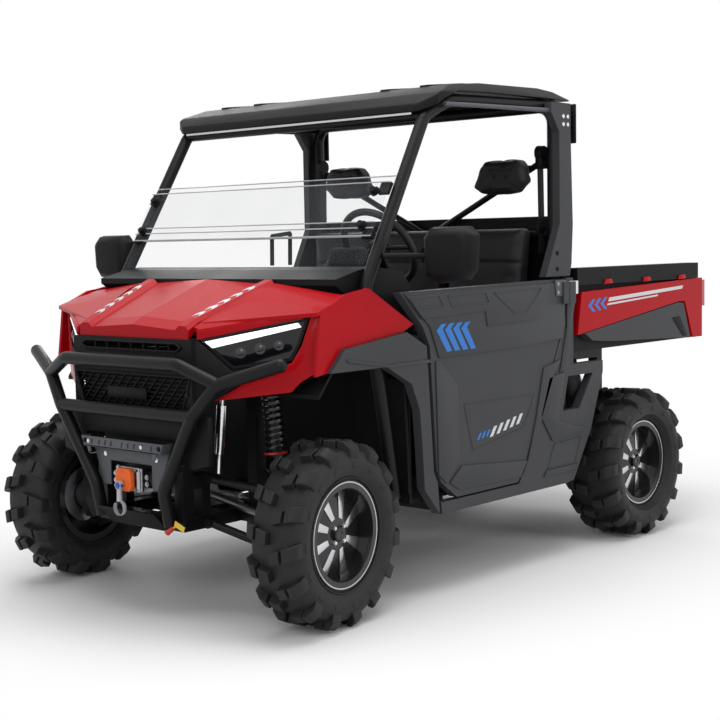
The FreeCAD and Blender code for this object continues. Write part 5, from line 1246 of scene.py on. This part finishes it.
def makeRoof():
    profile = spread(roofShares, roof["front"], roof["rear"], roof["low"], roof["high"])
    bm = bmesh.new()
    addPlate(bm, atX(-roof["half"], profile), (2 * roof["half"], 0, 0))
    for side in (1, -1):
        cutAway(bm, (side * roof["cornerX"], roof["front"], 0), (side * roof["cornerWay"], -1, 0))
        cutAway(bm, (side * roof["edgeX"], 0, roof["high"]), (side * roof["edgeWay"], 0, 1))
    roundSharp(bm, 0.15, roof["round"], 3)
    top = profile[3:6]
    over, under = roof["ribOver"], roof["ribUnder"]
    outline = [(y, z + over) for y, z in top] + [(y, z - under) for y, z in reversed(top)]
    for side in (1, -1):
        for x in roof["ribs"]:
            addPlate(bm, atX(side * x, outline), (side * roof["ribWide"], 0, 0), 4)
    y, z = profile[2]
    half = roof["visorHalf"]
    addPlate(bm, [(-half, y - 6, z - 30), (half, y - 6, z - 30), (half, y + 6, z - 4), (-half, y + 6, z - 4)],
             (0, -5, 0), 3)
    shell = put("roofShell", bm, "black_plastic", angle=40)
    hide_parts("roof")


def makeSkid():
    bm = bmesh.new()
    addPlate(bm, atX(-skid["half"], skid["outline"]), (2 * skid["half"], 0, 0), 1.5)
    pan = put("skidPan", bm, "black_plastic")
    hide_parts("skid_plate")


def makeWingTops():
    bm = bmesh.new()
    thick = wing["thick"]
    addLoft(bm, [atY(y, ((inner, innerZ), (outer, outerZ), (outer, outerZ - thick), (inner, innerZ - thick)))
                 for y, inner, innerZ, outer, outerZ in wing["sections"]])
    put("wingTops", bm, "red_panel", angle=20, both=True)
    print("roof and wings made")


# The windscreen's plane: its foot, its lean, and how far in front its two sheets lie.
screen = {"y": 250, "z": 1224, "lean": 30.73, "half": 693, "edge": 2.4,
          "sheets": ((32.5, (467, 200)), (51.5, (194, 228, 254, 430))),
          "knobs": (-640, 640), "knobLevels": (235, 385),
          "knobStages": ((54, 60, 20, 24, 20), (59, 78, 14, 20, 12))}


def onScreen(x, out, up):
    a = math.radians(screen["lean"])
    return (x, screen["y"] - out * math.cos(a) + up * math.sin(a),
            screen["z"] + out * math.sin(a) + up * math.cos(a))


def makeScreenEdges():
    bm = bmesh.new()
    half = screen["half"]
    for out, levels in screen["sheets"]:
        for up in levels:
            addBar(bm, onScreen(-half, out, up), onScreen(half, out, up), screen["edge"], 8)
    put("screenEdges", bm, "clear", "paleSteel")
    bm = bmesh.new()
    for x in screen["knobs"]:
        for up in screen["knobLevels"]:
            for start, end, radius, steps, tip in screen["knobStages"]:
                addBar(bm, onScreen(x, start, up), onScreen(x, end, up), radius, steps, tip)
    put("screenKnobs", bm, "black_plastic")


# Trim, each piece in its own dictionary.
roofLip = {"slot": "black_plastic", "finish": "lip", "blocks": [((-655, 600, 1883), (655, 614, 1892.5), 1.5)]}
roofSideTube = {"slot": "black_steel", "finish": "grey_steel", "angle": 50, "both": True, "bars": [
    ((744, 700, 1925), (744, 1440, 1941), 9, 20)]}
bedCleats = {"slot": "red_panel", "body": "bed", "both": True, "plates": [
    (atX(770.2, ((y, 1184), (y + 10, 1206), (y + 62, 1208), (y + 74, 1187))), (8, 0, 0), 3)
    for y in (1810, 2150, 2485)]}
bedVents = {"slot": "black_plastic", "body": "bed", "both": True, "plates": [
    (atX(770.2, ((2432, 1001), (2507, 1004), (2584, 905), (2540, 905))), (2, 0, 0), 1)]}
beltStraps = {"slot": "seat_vinyl", "finish": "strap", "both": True, "plates": [
    (((648, 1470, 1740), (648, 1514, 1740), (654, 1514, 1330), (654, 1470, 1330)), (2.5, 0, 0))]}
beltReels = {"slot": "black_plastic", "both": True,
             "bars": [((640, 1492, 1766), (672, 1492, 1766), 33, 32, 31)],
             "blocks": [((638, 1466, 1700), (672, 1518, 1756), 6), ((644, 1464, 1420), (660, 1520, 1450), 4)]}
pillarPlates = {"slot": "black_plastic", "both": True, "blocks": [
    ((704, 1588, 1806), (768, 1600, 1976), 4), ((728, 1565, 1872), (744, 1590, 1918), 3)]}
pillarBolts = {"slot": "bright", "bolts": [
    ([(side * 764, y, z) for y in (1502, 1536) for z in (1884, 1918)], (side, 0, 0), 6, 4) for side in (1, -1)]}
gasStrut = {"slot": "bright", "bars": [
    ((349, -150, 802), (330, -150, 620), 20, 24), ((330, -150, 622), (324, -150, 545), 10, 18),
    ((352, -150, 822), (349, -150, 802), 8, 16)]}
swayLinks = {"slot": "steel", "finish": "brass", "both": True, "bars": [
    ((526, 0, 586), (517, 0, 470), 5, 14), ((516, 0, 590), (536, 0, 590), 12, 18),
    ((507, 0, 464), (527, 0, 464), 12, 18)]}
tagRed = {"slot": "black_plastic", "finish": "redCollar", "bars": [
    ((232, -300, 352), (196, -300, 330), 9, 16, 12)]}
tagYellow = {"slot": "black_plastic", "finish": "yellow",
             "blocks": [((240, -304, 350), (296, -300, 372), 1.5, Matrix.Rotation(0.35, 4, "Y"))],
             "bars": [((232, -302, 352), (262, -302, 366), 3, 10)]}
bedFloorRibs = {"slot": "black_plastic", "body": "bed", "blocks": [
    ((x - 30, 1680, 904.5), (x + 30, 2640, 911), 3) for x in range(-600, 601, 150)]}
tailgateRibs = {"slot": "black_plastic", "body": "tailgate", "blocks": [
    ((x - 6, 2732.5, 990), (x + 6, 2736, 1160), 1.5) for x in (-500, -250, 0, 250, 500)] + [
    ((-110, 2733, 1170), (110, 2744, 1200), 4)]}


def makeTrim():
    build("roofLip", roofLip)
    build("roofSideTube", roofSideTube)
    build("bedCleats", bedCleats)
    build("bedVents", bedVents)
    build("beltStraps", beltStraps)
    build("beltReels", beltReels)
    makeScreenEdges()
    build("pillarPlates", pillarPlates)
    build("pillarBolts", pillarBolts)
    build("gasStrut", gasStrut)
    build("swayLinks", swayLinks)
    build("tagRed", tagRed)
    build("tagYellow", tagYellow)
    build("bedFloorRibs", bedFloorRibs)
    build("tailgateRibs", tailgateRibs)
    print("trim made")


# Studio: a floor that fades into a white world, and four area lamps. Lengths in metres, power in watts.
studio = {"floor": 60.0, "near": 1.0, "far": 2.4, "depthShare": 0.45, "floorColour": (0.95, 0.95, 0.95),
          "rough": 0.8, "gloss": 0.1, "world": 0.42}


def seenStraight(tree):             # 1 for rays from the camera, off mirrors and through glass
    light = tree.nodes.new("ShaderNodeLightPath")
    camera, gloss, glass = (Wire(tree, light.outputs[f"Is {kind} Ray"])
                            for kind in ("Camera", "Glossy", "Transmission"))
    return camera.most(gloss).most(glass)


def makeStudio():
    bm = bmesh.new()
    bmesh.ops.create_grid(bm, x_segments=1, y_segments=1, size=studio["floor"])
    data = bpy.data.meshes.new("studioFloor")
    bm.to_mesh(data)
    bm.free()
    floor = bpy.data.objects.new("studioFloor", data)
    bpy.context.scene.collection.objects.link(floor)
    f = Finish("floorWhite", studio["floorColour"], studio["rough"], gloss=studio["gloss"])
    x, y, _ = f.axes()
    reach = (x * x + y * y * studio["depthShare"]) ** 0.5
    far = f.node("ShaderNodeMapRange", {"interpolation_type": "SMOOTHSTEP"}, {
        "Value": reach, "From Min": studio["near"], "From Max": studio["far"]})
    white = f.node("ShaderNodeEmission", {}, {"Color": (1, 1, 1, 1), "Strength": 1.0})
    body = Wire(f.tree, f.shader.outputs[0])
    blend = f.node("ShaderNodeMixShader", {}, {0: far * seenStraight(f.tree), 1: body, 2: white})
    f.tree.links.new(blend.out, f.tree.nodes["Material Output"].inputs["Surface"])
    data.materials.append(f.material)

    world = bpy.data.worlds.new("studioWorld")
    bpy.context.scene.world = world
    world.use_nodes = True
    tree = world.node_tree
    sky = tree.nodes["Background"]
    sky.inputs["Color"].default_value = (1, 1, 1, 1)
    strength = seenStraight(tree) * (1 - studio["world"]) + studio["world"]
    tree.links.new(strength.out, sky.inputs["Strength"])
    print("studio set")


lamps = {
    "topLamp": {"place": (0.5, -0.5, 5.0), "aim": (0, 0, 0.8), "size": 4.0, "power": 180},
    "frontLamp": {"place": (3.2, -5.5, 3.2), "aim": (0, -0.6, 0.8), "size": 2.4, "power": 62},
    "sideLamp": {"place": (6.0, 1.5, 2.8), "aim": (0, 0.2, 0.8), "size": 2.6, "power": 70},
    "backLamp": {"place": (-4.5, 3.5, 3.5), "aim": (0, 0, 1.0), "size": 3.0, "power": 90},
}


def makeLamps():
    for name, lamp in lamps.items():
        data = bpy.data.lights.new(name, "AREA")
        data.size = lamp["size"]
        data.energy = lamp["power"]
        obj = bpy.data.objects.new(name, data)
        way = Vector(lamp["aim"]) - Vector(lamp["place"])
        turn = way.to_track_quat("-Z", "Y").to_matrix().to_4x4()
        obj.matrix_world = Matrix.Translation(lamp["place"]) @ turn
        bpy.context.scene.collection.objects.link(obj)


bpy.context.scene.view_settings.view_transform = "Standard"
makeCamera()
makeStudio()
makeLamps()
dressNodes()
for mark in wheels:
    makeTyre(mark)
    makeRim(mark)
print("wheels made")
makeShocks()
makeSeats()
makeNose()
makeLampDetails()
makeMirrors()
makeDoorPanels()
makeRoof()
makeSkid()
makeWingTops()
makeStripes()
makeFasteners()
makeWinch()
makeCab()
makeTrim()
